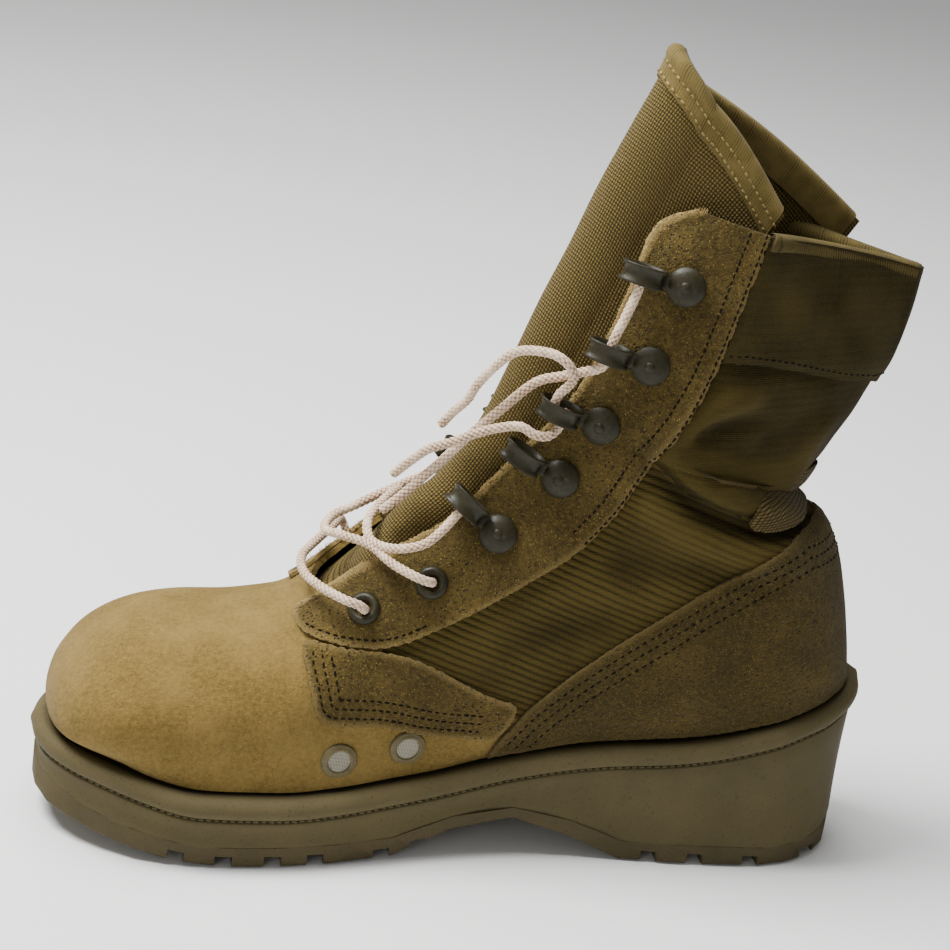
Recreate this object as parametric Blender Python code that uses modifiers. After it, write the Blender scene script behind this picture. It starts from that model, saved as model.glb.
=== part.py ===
"""A right combat boot at its real size, in metres, toe along -X, inner side along -Y, standing on Z = 0."""

import math

import bmesh
import bpy
import numpy as np
from mathutils import Matrix

# Driving sizes of the sole
SOLE_LENGTH = 0.300
BALL_WIDTH = 0.105
HEEL_CENTRE = 0.042
LEDGE_HEIGHT = 0.065
ARCH_HEIGHT = 0.0135
TOE_SPRING = 0.0105
HEEL_BEVEL = 0.005
OUTSOLE_EDGE = 0.0075
LUG_DEPTH = 0.0042
LUG_GAP = 0.006
LIP_HEIGHT = 0.0075
LEDGE_INSET = 0.007
FLOOR_HEIGHT = 0.030
INSOLE_THICKNESS = 0.0035

# Driving sizes of the upper
UPPER_HEIGHT = 0.240
UPPER_WALL = 0.0022
OVERLAY_THICKNESS = 0.0016
TONGUE_THICKNESS = 0.0024
CLEARANCE = 0.0003

# How finely the lofts are divided
SECTIONS_ALONG = 31
POINTS_ON_A_SIDE = 8
OUTLINE_STEPS = 22


def table(columns, rows):
    """Rows of numbers as a dictionary of columns."""
    return dict(zip(columns.split(), np.array(rows, float).T))


def smooth(places, values, at):
    """A curve through the values that never overshoots them."""
    places, values = np.asarray(places, float), np.asarray(values, float)
    step = np.diff(places)
    slope = np.diff(values) / step
    tangent = np.empty_like(values)
    tangent[0], tangent[-1] = slope[0], slope[-1]
    product = slope[:-1] * slope[1:]
    total = slope[:-1] + slope[1:]
    tangent[1:-1] = np.where(product > 0, 2 * product / np.where(product > 0, total, 1), 0)
    at = np.clip(at, places[0], places[-1])
    k = np.clip(np.searchsorted(places, at, side="right") - 1, 0, len(step) - 1)
    u = (at - places[k]) / step[k]
    rise = values[k + 1] - values[k]
    bend_in = tangent[k] * step[k] - rise
    bend_out = rise - tangent[k + 1] * step[k]
    return values[k] + u * rise + u * (1 - u) * (bend_in * (1 - u) + bend_out * u)


# Sole outline: share of the length from the heel, and half widths as shares of the ball width
OUTLINE = table("along outer inner", [
    (0.000, 0.000, 0.000),
    (0.010, 0.114, 0.114),
    (0.027, 0.195, 0.195),
    (0.067, 0.286, 0.286),
    (0.133, 0.343, 0.338),
    (0.233, 0.367, 0.343),
    (0.333, 0.371, 0.324),
    (0.433, 0.395, 0.329),
    (0.533, 0.443, 0.371),
    (0.633, 0.490, 0.443),
    (0.717, 0.505, 0.490),
    (0.800, 0.486, 0.505),
    (0.867, 0.429, 0.476),
    (0.933, 0.314, 0.390),
    (0.973, 0.181, 0.295),
    (0.993, 0.040, 0.195),
    (1.000, -0.076, 0.076),
])

# Heights along the sole: shares of the ledge height at the heel, and of the floor height
HEIGHTS = table("along ledge floor", [
    (0.000, 1.045, 1.067),
    (0.070, 0.940, 1.040),
    (0.200, 0.760, 1.000),
    (0.367, 0.645, 0.833),
    (0.567, 0.446, 0.533),
    (0.700, 0.392, 0.433),
    (0.800, 0.400, 0.433),
    (0.900, 0.485, 0.570),
    (1.000, 0.554, 0.830),
])

# The underside: shares of heel bevel, arch height and toe spring, and the outsole's edge line
UNDERSIDE = table("along bevel arch spring edge", [
    (0.000, 1.00, 0.00, 0.00, 1.55),
    (0.050, 0.00, 0.00, 0.00, 1.20),
    (0.100, 0.00, 0.00, 0.00, 1.00),
    (0.300, 0.00, 0.00, 0.00, 1.00),
    (0.350, 0.00, 0.45, 0.00, 0.90),
    (0.390, 0.00, 0.85, 0.00, 0.70),
    (0.450, 0.00, 1.00, 0.00, 0.55),
    (0.500, 0.00, 0.70, 0.00, 0.70),
    (0.560, 0.00, 0.15, 0.00, 1.00),
    (0.590, 0.00, 0.00, 0.00, 1.00),
    (0.780, 0.00, 0.00, 0.00, 1.00),
    (0.900, 0.00, 0.00, 0.50, 1.00),
    (0.970, 0.00, 0.00, 0.85, 1.35),
    (1.000, 0.00, 0.00, 1.00, 1.85),
])

# Sections of the upper, fanned from the toe to the collar. The front end lies on the crown line and the
# back end on the ledge, or for a closed section above it on the heel line. Columns ending in _s are shares
# of the sole's length from the heel, _z a share of the upper's height, _rise a share of the shaft's height
# over the ledge, and inner and outer are half widths as shares of the ball width. Widest is where along the
# section the wall is widest, and the next two are its roundness.
UPPER = table("front_s front_z back_s back_rise inner outer widest low crown closed", [
    (0.9790, 0.160, 0.9780, 0.0000, 0.000, 0.000, 0.30, 2.0, 2.2, 0),
    (0.9850, 0.180, 0.9600, 0.0000, 0.200, 0.060, 0.30, 2.0, 2.2, 0),
    (0.9800, 0.210, 0.9400, 0.0000, 0.300, 0.160, 0.32, 2.0, 2.2, 0),
    (0.9650, 0.243, 0.9150, 0.0000, 0.365, 0.270, 0.33, 2.0, 2.2, 0),
    (0.9380, 0.274, 0.8850, 0.0000, 0.410, 0.345, 0.33, 2.0, 2.2, 0),
    (0.9000, 0.298, 0.8500, 0.0000, 0.430, 0.390, 0.33, 2.0, 2.2, 0),
    (0.8500, 0.311, 0.8100, 0.0000, 0.438, 0.415, 0.33, 2.0, 2.15, 0),
    (0.7830, 0.318, 0.7630, 0.0000, 0.435, 0.432, 0.33, 2.0, 2.1, 0),
    (0.7250, 0.331, 0.7130, 0.0000, 0.425, 0.440, 0.33, 2.0, 2.05, 0),
    (0.6920, 0.361, 0.6500, 0.0000, 0.410, 0.435, 0.34, 2.0, 2.0, 0),
    (0.6520, 0.412, 0.5600, 0.0000, 0.380, 0.415, 0.35, 2.0, 2.0, 0),
    (0.6120, 0.468, 0.4500, 0.0000, 0.352, 0.390, 0.36, 2.0, 2.0, 0),
    (0.5780, 0.513, 0.3300, 0.0000, 0.335, 0.365, 0.37, 2.0, 2.0, 0),
    (0.5510, 0.548, 0.2000, 0.0000, 0.322, 0.342, 0.38, 2.0, 2.0, 0),
    (0.5320, 0.576, 0.1000, 0.0000, 0.316, 0.330, 0.37, 2.0, 2.0, 0),
    (0.5180, 0.600, 0.0500, 0.0000, 0.314, 0.324, 0.35, 2.0, 2.0, 0),
    (0.5060, 0.620, 0.0240, 0.0025, 0.314, 0.322, 0.34, 2.1, 2.0, 1),
    (0.4980, 0.634, 0.0330, 0.0830, 0.314, 0.322, 0.34, 2.1, 2.0, 1),
    (0.4900, 0.648, 0.0460, 0.1863, 0.310, 0.318, 0.35, 2.0, 2.0, 1),
    (0.4830, 0.660, 0.0620, 0.2843, 0.302, 0.310, 0.37, 1.9, 2.0, 1),
    (0.4770, 0.671, 0.0860, 0.3755, 0.290, 0.298, 0.40, 1.7, 2.0, 1),
    (0.4720, 0.680, 0.1180, 0.4294, 0.278, 0.286, 0.43, 1.5, 2.0, 1),
    (0.4660, 0.692, 0.1340, 0.4576, 0.266, 0.276, 0.45, 1.4, 2.0, 1),
    (0.4580, 0.712, 0.1200, 0.4854, 0.276, 0.284, 0.46, 1.4, 2.0, 1),
    (0.4450, 0.748, 0.0960, 0.5348, 0.284, 0.288, 0.48, 1.4, 2.0, 1),
    (0.4250, 0.803, 0.0660, 0.6156, 0.284, 0.286, 0.52, 1.3, 2.0, 1),
    (0.4040, 0.865, 0.0440, 0.7132, 0.276, 0.278, 0.56, 1.15, 2.0, 1),
    (0.3790, 0.932, 0.0340, 0.8036, 0.266, 0.266, 0.60, 0.95, 2.0, 1),
    (0.3500, 1.000, 0.0290, 0.8858, 0.258, 0.258, 0.62, 0.8, 2.0, 1),
])

# Side outlines, as shares of the sole's length from the heel and of the upper's height
THROAT_EDGE = [
    (0.3000, 1.060), (0.3200, 0.971), (0.3570, 0.900), (0.3830, 0.825), (0.4100, 0.725), (0.4430, 0.654),
    (0.4930, 0.575), (0.5330, 0.508), (0.5970, 0.450), (0.6500, 0.400), (0.6800, 0.366), (0.7130, 0.372),
]
EYESTAY_LOWER = [(0.7110, 0.332), (0.6500, 0.319), (0.5970, 0.321)]
EYESTAY_BACK = [
    (0.5330, 0.363), (0.4570, 0.425), (0.3730, 0.508), (0.3300, 0.629), (0.2930, 0.708), (0.2730, 0.775),
    (0.2570, 0.867), (0.2330, 0.990), (0.2300, 1.060),
]
TAB = [
    (0.7070, 0.326), (0.6500, 0.314), (0.6050, 0.316), (0.5300, 0.294), (0.4370, 0.248), (0.4640, 0.190),
    (0.5800, 0.207), (0.6300, 0.209), (0.6800, 0.218), (0.6950, 0.270),
]
COUNTER_TOP = [
    (0.4560, 0.190), (0.4270, 0.246), (0.3570, 0.333), (0.2500, 0.438), (0.1770, 0.504),
    (0.1300, 0.530), (0.0900, 0.540), (-0.100, 0.550),
]
COUNTER_FOOT_RISE = 0.0018
HEEL_STRIP = [
    (0.1760, 0.511), (0.1300, 0.535), (0.0900, 0.545), (0.0400, 0.550), (0.0600, 0.600), (0.1200, 0.580),
    (0.1720, 0.560),
]
SEAM = 0.002
CUFF = [(s - SEAM, z) for s, z in EYESTAY_BACK[:5:-1]] + [
    (0.2680, 0.790), (0.2400, 0.792), (0.1800, 0.780), (0.1100, 0.758), (0.0100, 0.735), (-0.100, 0.735),
    (-0.100, 1.060),
]

# Grooves between the lugs, as shares of the sole's length from the heel
FOREFOOT_GROOVES = [0.827, 0.770, 0.713, 0.663, 0.583, 0.537]
HEEL_NOTCHES = [0.257, 0.200, 0.130, 0.050]
NOTCH_REACH = 0.016
LONG_GROOVES = [-0.018, 0.018]

# Where the fittings sit, as shares of the sole's length from the heel and of the upper's height
EYELETS = [(0.6300, 0.367), (0.5567, 0.417)]
HOOKS = [(0.4867, 0.496), (0.4233, 0.588), (0.3867, 0.675), (0.3433, 0.771), (0.3167, 0.887)]
VENTS = [(0.6467, 0.1580), (0.5667, 0.1740)]
EYELET_RADIUS = 0.0058
EYELET_HOLE = 0.0026
HOOK_BASE_RADIUS = 0.0068
VENT_RADIUS = 0.0065

# The tongue: its front line, how far its sides run back, and its nose's and its sides' half widths, as
# shares of the sole's length, the upper's height, the sole's length and the ball width
TONGUE = table("front_s front_z depth nose sides", [
    (0.6600, 0.352, 0.012, 0.095, 0.095),
    (0.6300, 0.420, 0.022, 0.100, 0.100),
    (0.5930, 0.490, 0.055, 0.105, 0.120),
    (0.5500, 0.550, 0.085, 0.090, 0.112),
    (0.5130, 0.633, 0.120, 0.094, 0.135),
    (0.4870, 0.729, 0.145, 0.106, 0.165),
    (0.4630, 0.821, 0.160, 0.114, 0.180),
    (0.4370, 0.904, 0.175, 0.116, 0.180),
    (0.4130, 0.987, 0.185, 0.120, 0.175),
    (0.3870, 1.067, 0.190, 0.120, 0.165),
    (0.3600, 1.150, 0.195, 0.115, 0.160),
    (0.3470, 1.196, 0.195, 0.110, 0.155),
])
TONGUE_DROP_INNER = 0.150
TONGUE_DROP_OUTER = 0.190


def place(s, z):
    """Metres in the boot's frame from shares of the sole's length and of the upper's height."""
    return HEEL_CENTRE - s * SOLE_LENGTH, z * UPPER_HEIGHT


def material(name, colour, roughness, metallic=0.0):
    made = bpy.data.materials.new(name)
    made.use_nodes = True
    shader = made.node_tree.nodes["Principled BSDF"]
    shader.inputs["Base Color"].default_value = (*colour, 1.0)
    shader.inputs["Roughness"].default_value = roughness
    shader.inputs["Metallic"].default_value = metallic
    return made


def clear_scene():
    for obj in list(bpy.data.objects):
        bpy.data.objects.remove(obj, do_unlink=True)


def collection(name):
    made = bpy.data.collections.new(name)
    bpy.context.scene.collection.children.link(made)
    return made


def mesh_object(name, points, faces, group, look=None):
    """An object from points and faces, with coincident points made one."""
    mesh = bpy.data.meshes.new(name)
    mesh.from_pydata([tuple(map(float, p)) for p in points], [], faces)
    shape = bmesh.new()
    shape.from_mesh(mesh)
    bmesh.ops.remove_doubles(shape, verts=shape.verts, dist=1e-6)
    shape.to_mesh(mesh)
    shape.free()
    obj = bpy.data.objects.new(name, mesh)
    group.objects.link(obj)
    if look:
        mesh.materials.append(look)
    return obj


def grid_faces(rows, columns):
    """Triangles over a grid, so that a layer and the wall under it are creased alike."""
    faces = []
    for i in range(rows - 1):
        for j in range(columns - 1):
            near, far = i * columns + j, (i + 1) * columns + j
            faces += [(near, far, far + 1), (near, far + 1, near + 1)]
    return faces


def hide(cutter):
    cutter.hide_render = True
    cutter.display_type = "WIRE"
    return cutter


def boolean(obj, other, operation):
    cut = obj.modifiers.new(other.name, "BOOLEAN")
    cut.object = other
    cut.operation = operation
    cut.solver = "EXACT"


def solidify(obj, inner, outer):
    """Thickens an open surface between two distances along its normals."""
    wall = obj.modifiers.new("wall", "SOLIDIFY")
    wall.thickness = outer - inner
    wall.offset = (outer + inner) / (outer - inner)
    wall.use_rim = True


def side_prism(name, outline, low, high, group):
    """A side outline extruded from one y to another, as a hidden cutter."""
    curve = bpy.data.curves.new(name, "CURVE")
    curve.dimensions = "2D"
    curve.fill_mode = "BOTH"
    curve.extrude = (high - low) / 2
    spline = curve.splines.new("POLY")
    spline.points.add(len(outline) - 1)
    for point, (x, z) in zip(spline.points, outline):
        point.co = (x, z, 0, 1)
    spline.use_cyclic_u = True
    guide = bpy.data.objects.new(name + " guide", curve)
    group.objects.link(guide)
    guide.rotation_euler = (math.pi / 2, 0, 0)
    guide.location = (0, (low + high) / 2, 0)
    bpy.context.view_layer.update()
    graph = bpy.context.evaluated_depsgraph_get()
    mesh = bpy.data.meshes.new_from_object(guide.evaluated_get(graph))
    mesh.transform(guide.matrix_world)
    shape = bmesh.new()
    shape.from_mesh(mesh)
    bmesh.ops.remove_doubles(shape, verts=shape.verts, dist=1e-6)
    bmesh.ops.recalc_face_normals(shape, faces=shape.faces)
    shape.to_mesh(mesh)
    shape.free()
    bpy.data.objects.remove(guide, do_unlink=True)
    made = bpy.data.objects.new(name, mesh)
    group.objects.link(made)
    return hide(made)


# The sole's outline and heights
def outline_points(inset=0.0):
    """The sole's outline moved inwards: paired inner and outer points from heel to toe."""
    turn = np.linspace(0, math.pi, OUTLINE_STEPS + 1)
    along = (1 - np.cos(turn)) / 2
    outer = smooth(OUTLINE["along"], OUTLINE["outer"], along) * BALL_WIDTH
    inner = -smooth(OUTLINE["along"], OUTLINE["inner"], along) * BALL_WIDTH
    x = HEEL_CENTRE - along * SOLE_LENGTH
    loop = np.concatenate([np.stack([x, inner], 1), np.stack([x, outer], 1)[-2:0:-1]])
    ahead, behind = np.roll(loop, -1, 0), np.roll(loop, 1, 0)
    tangent = ahead - behind
    tangent /= np.linalg.norm(tangent, axis=1, keepdims=True)
    moved = loop + inset * np.stack([tangent[:, 1], -tangent[:, 0]], 1)
    return moved


def share_along(x):
    return (HEEL_CENTRE - x) / SOLE_LENGTH


def ledge(x):
    return smooth(HEIGHTS["along"], HEIGHTS["ledge"], share_along(x)) * LEDGE_HEIGHT


def floor(x):
    return smooth(HEIGHTS["along"], HEIGHTS["floor"], share_along(x)) * FLOOR_HEIGHT


def underside(x, y):
    s = share_along(x)
    bevel = smooth(UNDERSIDE["along"], UNDERSIDE["bevel"], s) * HEEL_BEVEL
    spring = smooth(UNDERSIDE["along"], UNDERSIDE["spring"], s) * TOE_SPRING
    arch = smooth(UNDERSIDE["along"], UNDERSIDE["arch"], s) * ARCH_HEIGHT
    inner_share = np.clip(0.85 - y / BALL_WIDTH, 0.5, 1.1)
    return bevel + spring + arch * inner_share


def outsole_top(x, y):
    edge = smooth(UNDERSIDE["along"], UNDERSIDE["edge"], share_along(x)) * OUTSOLE_EDGE
    return underside(x, y) + edge


def ring_solid(name, rings, group, look):
    """A closed body from loops of the same length, capped across from inner to outer side."""
    count = len(rings[0])
    half = OUTLINE_STEPS
    faces = []
    for k in range(len(rings) - 1):
        for i in range(count):
            j = (i + 1) % count
            faces.append((k * count + i, k * count + j, (k + 1) * count + j, (k + 1) * count + i))
    for base, flip in ((0, True), ((len(rings) - 1) * count, False)):
        for i in range(half):
            mate, next_mate = (count - i) % count, count - i - 1
            corners = [base + i, base + i + 1, base + next_mate, base + mate]
            corners = list(dict.fromkeys(corners))
            faces.append(tuple(corners[::-1] if flip else corners))
    obj = mesh_object(name, np.concatenate(rings), faces, group, look)
    shape = bmesh.new()
    shape.from_mesh(obj.data)
    bmesh.ops.recalc_face_normals(shape, faces=shape.faces)
    bmesh.ops.triangulate(shape, faces=shape.faces)
    shape.to_mesh(obj.data)
    shape.free()
    return obj


def ring(inset, height):
    """A loop of the outline at an inset, with its height worked out from each point."""
    flat = outline_points(inset)
    return np.column_stack([flat, height(flat[:, 0], flat[:, 1])])


def build_midsole(group, look):
    rings = [
        ring(0.0020, lambda x, y: outsole_top(x, y) + CLEARANCE),
        ring(0.0020, lambda x, y: ledge(x) - LIP_HEIGHT * 1.15),
        ring(0.0030, lambda x, y: ledge(x) - LIP_HEIGHT),
        ring(0.0006, lambda x, y: ledge(x) - LIP_HEIGHT * 0.80),
        ring(0.0000, lambda x, y: ledge(x) - LIP_HEIGHT * 0.45),
        ring(0.0008, lambda x, y: ledge(x) - LIP_HEIGHT * 0.12),
        ring(0.0030, lambda x, y: ledge(x) - 0.0002),
        ring(LEDGE_INSET - 0.0012, lambda x, y: ledge(x)),
        ring(LEDGE_INSET + UPPER_WALL + 0.0010, lambda x, y: ledge(x)),
        ring(LEDGE_INSET + UPPER_WALL + 0.0014, lambda x, y: floor(x)),
    ]
    return ring_solid("midsole", rings, group, look)


def box(name, size, centre, tilt, group):
    bpy.ops.mesh.primitive_cube_add(size=1)
    made = bpy.context.object
    made.name = name
    for held in list(made.users_collection):
        held.objects.unlink(made)
    group.objects.link(made)
    made.scale = size
    made.location = centre
    made.rotation_euler = (0, tilt, 0)
    return hide(made)


def groove(name, share, low, high, cutters):
    """A groove across the sole, its roof a lug's depth above the tread."""
    x = HEEL_CENTRE - share * SOLE_LENGTH
    ahead, behind = float(underside(x - LUG_GAP, 0.02)), float(underside(x + LUG_GAP, 0.02))
    tilt = math.atan2(ahead - behind, 2 * LUG_GAP)
    height = 3 * LUG_DEPTH
    centre = (x, (low + high) / 2, float(underside(x, 0.02)) + LUG_DEPTH - height / 2)
    return box(name, (LUG_GAP, high - low, height), centre, tilt, cutters)


def long_groove(y, cutters):
    first, last = FOREFOOT_GROOVES[-1], FOREFOOT_GROOVES[0]
    x = HEEL_CENTRE - (first + last) / 2 * SOLE_LENGTH
    length = (last - first) * SOLE_LENGTH
    height = 3 * LUG_DEPTH
    centre = (x, y, LUG_DEPTH * 0.9 - height / 2)
    return box("long groove", (length, LUG_GAP * 0.6, height), centre, 0, cutters)


def build_outsole(group, look, cutters):
    rings = [
        ring(0.0026, underside),
        ring(0.0016, lambda x, y: underside(x, y) + 0.0010),
        ring(0.0018, outsole_top),
    ]
    obj = ring_solid("outsole", rings, group, look)
    width = BALL_WIDTH / 2 + 0.01
    for share in FOREFOOT_GROOVES:
        boolean(obj, groove("groove", share, -width, width, cutters), "DIFFERENCE")
    for share in HEEL_NOTCHES:
        boolean(obj, groove("inner notch", share, -width, -NOTCH_REACH, cutters), "DIFFERENCE")
        boolean(obj, groove("outer notch", share, NOTCH_REACH, width, cutters), "DIFFERENCE")
    for y in LONG_GROOVES:
        boolean(obj, long_groove(y, cutters), "DIFFERENCE")
    return obj


def build_insole(group, look):
    inset = LEDGE_INSET + UPPER_WALL + 0.0020
    rings = [
        ring(inset, lambda x, y: floor(x) + CLEARANCE),
        ring(inset, lambda x, y: floor(x) + CLEARANCE + INSOLE_THICKNESS),
    ]
    return ring_solid("insole", rings, group, look)


# The upper's wall as one function
def ledge_line():
    """The ledge's inner and outer sides, each from heel to toe."""
    loop = outline_points(LEDGE_INSET)
    inner, outer = loop[: OUTLINE_STEPS + 1], loop[np.r_[0, len(loop) - 1 : OUTLINE_STEPS - 1 : -1]]
    inner[0, 1] = outer[0, 1] = 0.0
    return inner, outer


LEDGE_LINE = ledge_line()


def ledge_half_widths(s):
    """Half widths of the ledge line at a share of the length, inner then outer."""
    x = HEEL_CENTRE - s * SOLE_LENGTH
    return (
        float(np.interp(-x, -LEDGE_LINE[0][:, 0], LEDGE_LINE[0][:, 1])),
        float(np.interp(-x, -LEDGE_LINE[1][:, 0], LEDGE_LINE[1][:, 1])),
    )


def upper_section(t):
    """One section of the upper at t from 0, the toe, to 1, the collar."""
    places = np.arange(len(UPPER["front_s"]))
    at = t * places[-1]
    row = {name: float(smooth(places, values, at)) for name, values in UPPER.items()}
    row["front"] = np.array(place(row["front_s"], row["front_z"]))
    back_x = HEEL_CENTRE - row["back_s"] * SOLE_LENGTH
    back_z = float(ledge(back_x)) + 3 * CLEARANCE + row["back_rise"] * (UPPER_HEIGHT - LEDGE_HEIGHT)
    first_closed = int(np.argmax(UPPER["closed"]))
    row["closed"] = at >= first_closed
    heel_end = LEDGE_INSET / SOLE_LENGTH
    row["foot"] = (0.0, 0.0) if row["closed"] else ledge_half_widths(row["back_s"])
    row["plan_shift"] = heel_end - row["back_s"] if row["closed"] else 0.0
    # How far the heel's plan, and not the section's own roundness, shapes the lower wall
    row["heel"] = float(smooth([0, 0.2, 0.45, 1], [1, 1, 0, 0], row["back_s"]))
    if row["closed"]:
        row["heel"] = float(np.clip(1 - (at - first_closed) / 5, 0, 1))
    row["back"] = np.array((back_x, back_z))
    return row


def upper_point(row, v):
    """A point on the wall: v runs 0 at the inner foot, 0.5 on the crown line, 1 at the outer foot."""
    side = -1 if v <= 0.5 else 1
    q = 2 * min(v, 1 - v)
    middle = (row["foot"][0] + row["foot"][1]) / 2
    foot = abs(row["foot"][0 if side < 0 else 1] - middle)
    wide = max(row["inner" if side < 0 else "outer"] * BALL_WIDTH, foot)
    turn_share = 0.42
    if q < turn_share:
        share = q / turn_share
        angle = share * math.pi / 2
        power = 2 / row["low"]
        across = foot + (wide - foot) * math.sin(angle) ** power
        rounded = 1 - foot / max(wide, 1e-6)
        up = row["widest"] * (share + rounded * (1 - math.cos(angle) ** power - share))
        if row["heel"] > 0:
            forward = (row["front_s"] - row["back_s"]) * np.array([up, row["widest"]])
            plan = [
                abs(ledge_half_widths(row["back_s"] + row["plan_shift"] + s)[0 if side < 0 else 1]) for s in forward
            ]
            planned = plan[0] + (wide - plan[1]) * math.sin(angle) * (plan[0] / max(plan[1], 1e-6)) ** 0.5
            across += row["heel"] * (planned - across)
    else:
        angle = (q - turn_share) / (1 - turn_share) * math.pi / 2
        power = 2 / row["crown"]
        across = wide * max(math.cos(angle), 0.0) ** power
        up = row["widest"] + (1 - row["widest"]) * math.sin(angle) ** power
    centre = middle * (1 - q ** 2 * 0.3)
    x, z = row["back"] + up * (row["front"] - row["back"])
    return x, centre + side * across, z


def section_places(first=0.0):
    """Shares of the way along for the loft's sections, evenly spread by how far the wall moves."""
    fine = np.linspace(0, 1, 401)
    rows = [upper_section(t) for t in fine]
    moved = sum(
        weight * np.linalg.norm(np.diff([row[end] for row in rows], axis=0), axis=1)
        for end, weight in (("front", 1), ("back", 1), ("foot", 2))
    )
    far = np.concatenate([[0], np.cumsum(moved)])
    steps = np.interp(np.linspace(0, far[-1], SECTIONS_ALONG + 1), far, fine)
    return steps[steps >= first]


def upper_surface(name, group, first=0.0):
    """The upper's outer surface, open, from a share of the way along to the collar."""
    shares = np.linspace(0, 1, 2 * POINTS_ON_A_SIDE + 1)
    rows = [upper_section(t) for t in section_places(first)]
    points = [upper_point(row, v) for row in rows for v in shares]
    faces = grid_faces(len(rows), len(shares))
    return mesh_object(name, points, faces, group)


def overlay(name, outline, low, high, first, group, look, cutters):
    """A layer on the wall: the upper's surface moved out and thickened, cut to a side outline."""
    obj = upper_surface(name, group, first)
    obj.data.materials.append(look)
    solidify(obj, CLEARANCE, CLEARANCE + OVERLAY_THICKNESS)
    prism = side_prism(name + " outline", [place(*pair) for pair in outline], low, high, cutters)
    boolean(obj, prism, "INTERSECT")
    return obj


def wall_frame(s, z, side):
    """The outer wall at a place in side view: its point, outward normal, and forward direction in it."""
    goal = np.array(place(s, z))
    best = None
    for t in np.linspace(0.2, 1, 81):
        row = upper_section(t)
        for q in np.linspace(0.1, 0.95, 60):
            point = upper_point(row, q / 2 if side < 0 else 1 - q / 2)
            miss = (point[0] - goal[0]) ** 2 + (point[2] - goal[1]) ** 2
            if best is None or miss < best[0]:
                best = (miss, t, q)
    _, t, q = best

    def at(t, q):
        return np.array(upper_point(upper_section(t), q / 2 if side < 0 else 1 - q / 2))

    step = 1e-3
    for _ in range(6):
        here = at(t, q)
        along_t = (at(t + step, q) - at(t - step, q)) / (2 * step)
        along_q = (at(t, q + step) - at(t, q - step)) / (2 * step)
        slopes = np.array([[along_t[0], along_q[0]], [along_t[2], along_q[2]]])
        change = np.linalg.solve(slopes, goal - here[[0, 2]])
        t, q = t + change[0], q + change[1]
    normal = np.cross(along_t, along_q)
    normal /= np.linalg.norm(normal)
    if normal[1] * side < 0:
        normal = -normal
    return at(t, q), normal, along_q / np.linalg.norm(along_q)


def stand_on_wall(obj, s, z, side, rise):
    """Turns an object so that its Z is the wall's normal and its X points to the throat."""
    point, normal, throatward = wall_frame(s, z, side)
    across = np.cross(normal, throatward)
    turn = np.column_stack([throatward, across, normal])
    obj.matrix_world = Matrix.Translation(point + rise * normal) @ Matrix(turn.tolist()).to_4x4()
    return obj


def turned(name, profile, sides, group, look, ring_shaped=False):
    """A turned solid from (radius, height) pairs that run down its outer side, top to bottom."""
    edges = [(i, i + 1) for i in range(len(profile) - 1)]
    if ring_shaped:
        edges.append((len(profile) - 1, 0))
    mesh = bpy.data.meshes.new(name)
    mesh.from_pydata([(r, 0, h) for r, h in profile], edges, [])
    mesh.materials.append(look)
    obj = bpy.data.objects.new(name, mesh)
    group.objects.link(obj)
    screw = obj.modifiers.new("turn", "SCREW")
    screw.steps = sides
    screw.render_steps = sides
    screw.use_merge_vertices = True
    screw.merge_threshold = 1e-5
    return obj


def build_upper(group, look, cutters):
    obj = upper_surface("upper", group)
    obj.data.materials.append(look)
    solidify(obj, -UPPER_WALL, 0.0)
    beyond = [place(0.90, 0.60), place(0.90, 1.30), place(0.30, 1.30)]
    throat = side_prism("throat cut", [place(*pair) for pair in THROAT_EDGE] + beyond, -0.08, 0.08, cutters)
    boolean(obj, throat, "DIFFERENCE")
    return obj


def build_overlays(group, suede, nylon, cutters):
    """Every layer on the wall: its outline, the sides it covers, where its loft starts, and its cloth."""
    eyestay = THROAT_EDGE + EYESTAY_LOWER + EYESTAY_BACK
    made = {}
    for word, side in (("inner", -1), ("outer", 1)):
        layers = (("eyestay_" + word, eyestay, 0.012), ("quarter_tab_" + word, TAB, 0.020))
        for name, outline, nearest in layers:
            low, high = sorted((side * nearest, side * 0.080))
            made[name] = overlay(name, outline, low, high, 0.2, group, suede, cutters)
    foot_line = [
        (s, (float(ledge(HEEL_CENTRE - s * SOLE_LENGTH)) + COUNTER_FOOT_RISE) / UPPER_HEIGHT)
        for s in np.linspace(-0.1, 0.47, 12)
    ]
    counter = COUNTER_TOP + foot_line
    made["heel_counter"] = overlay("heel_counter", counter, -0.080, 0.080, 0.3, group, suede, cutters)
    made["heel_strip"] = overlay("heel_strip", HEEL_STRIP, -0.018, 0.018, 0.4, group, nylon, cutters)
    made["cuff"] = overlay("cuff", CUFF, -0.080, 0.080, 0.5, group, nylon, cutters)
    return made


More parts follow.
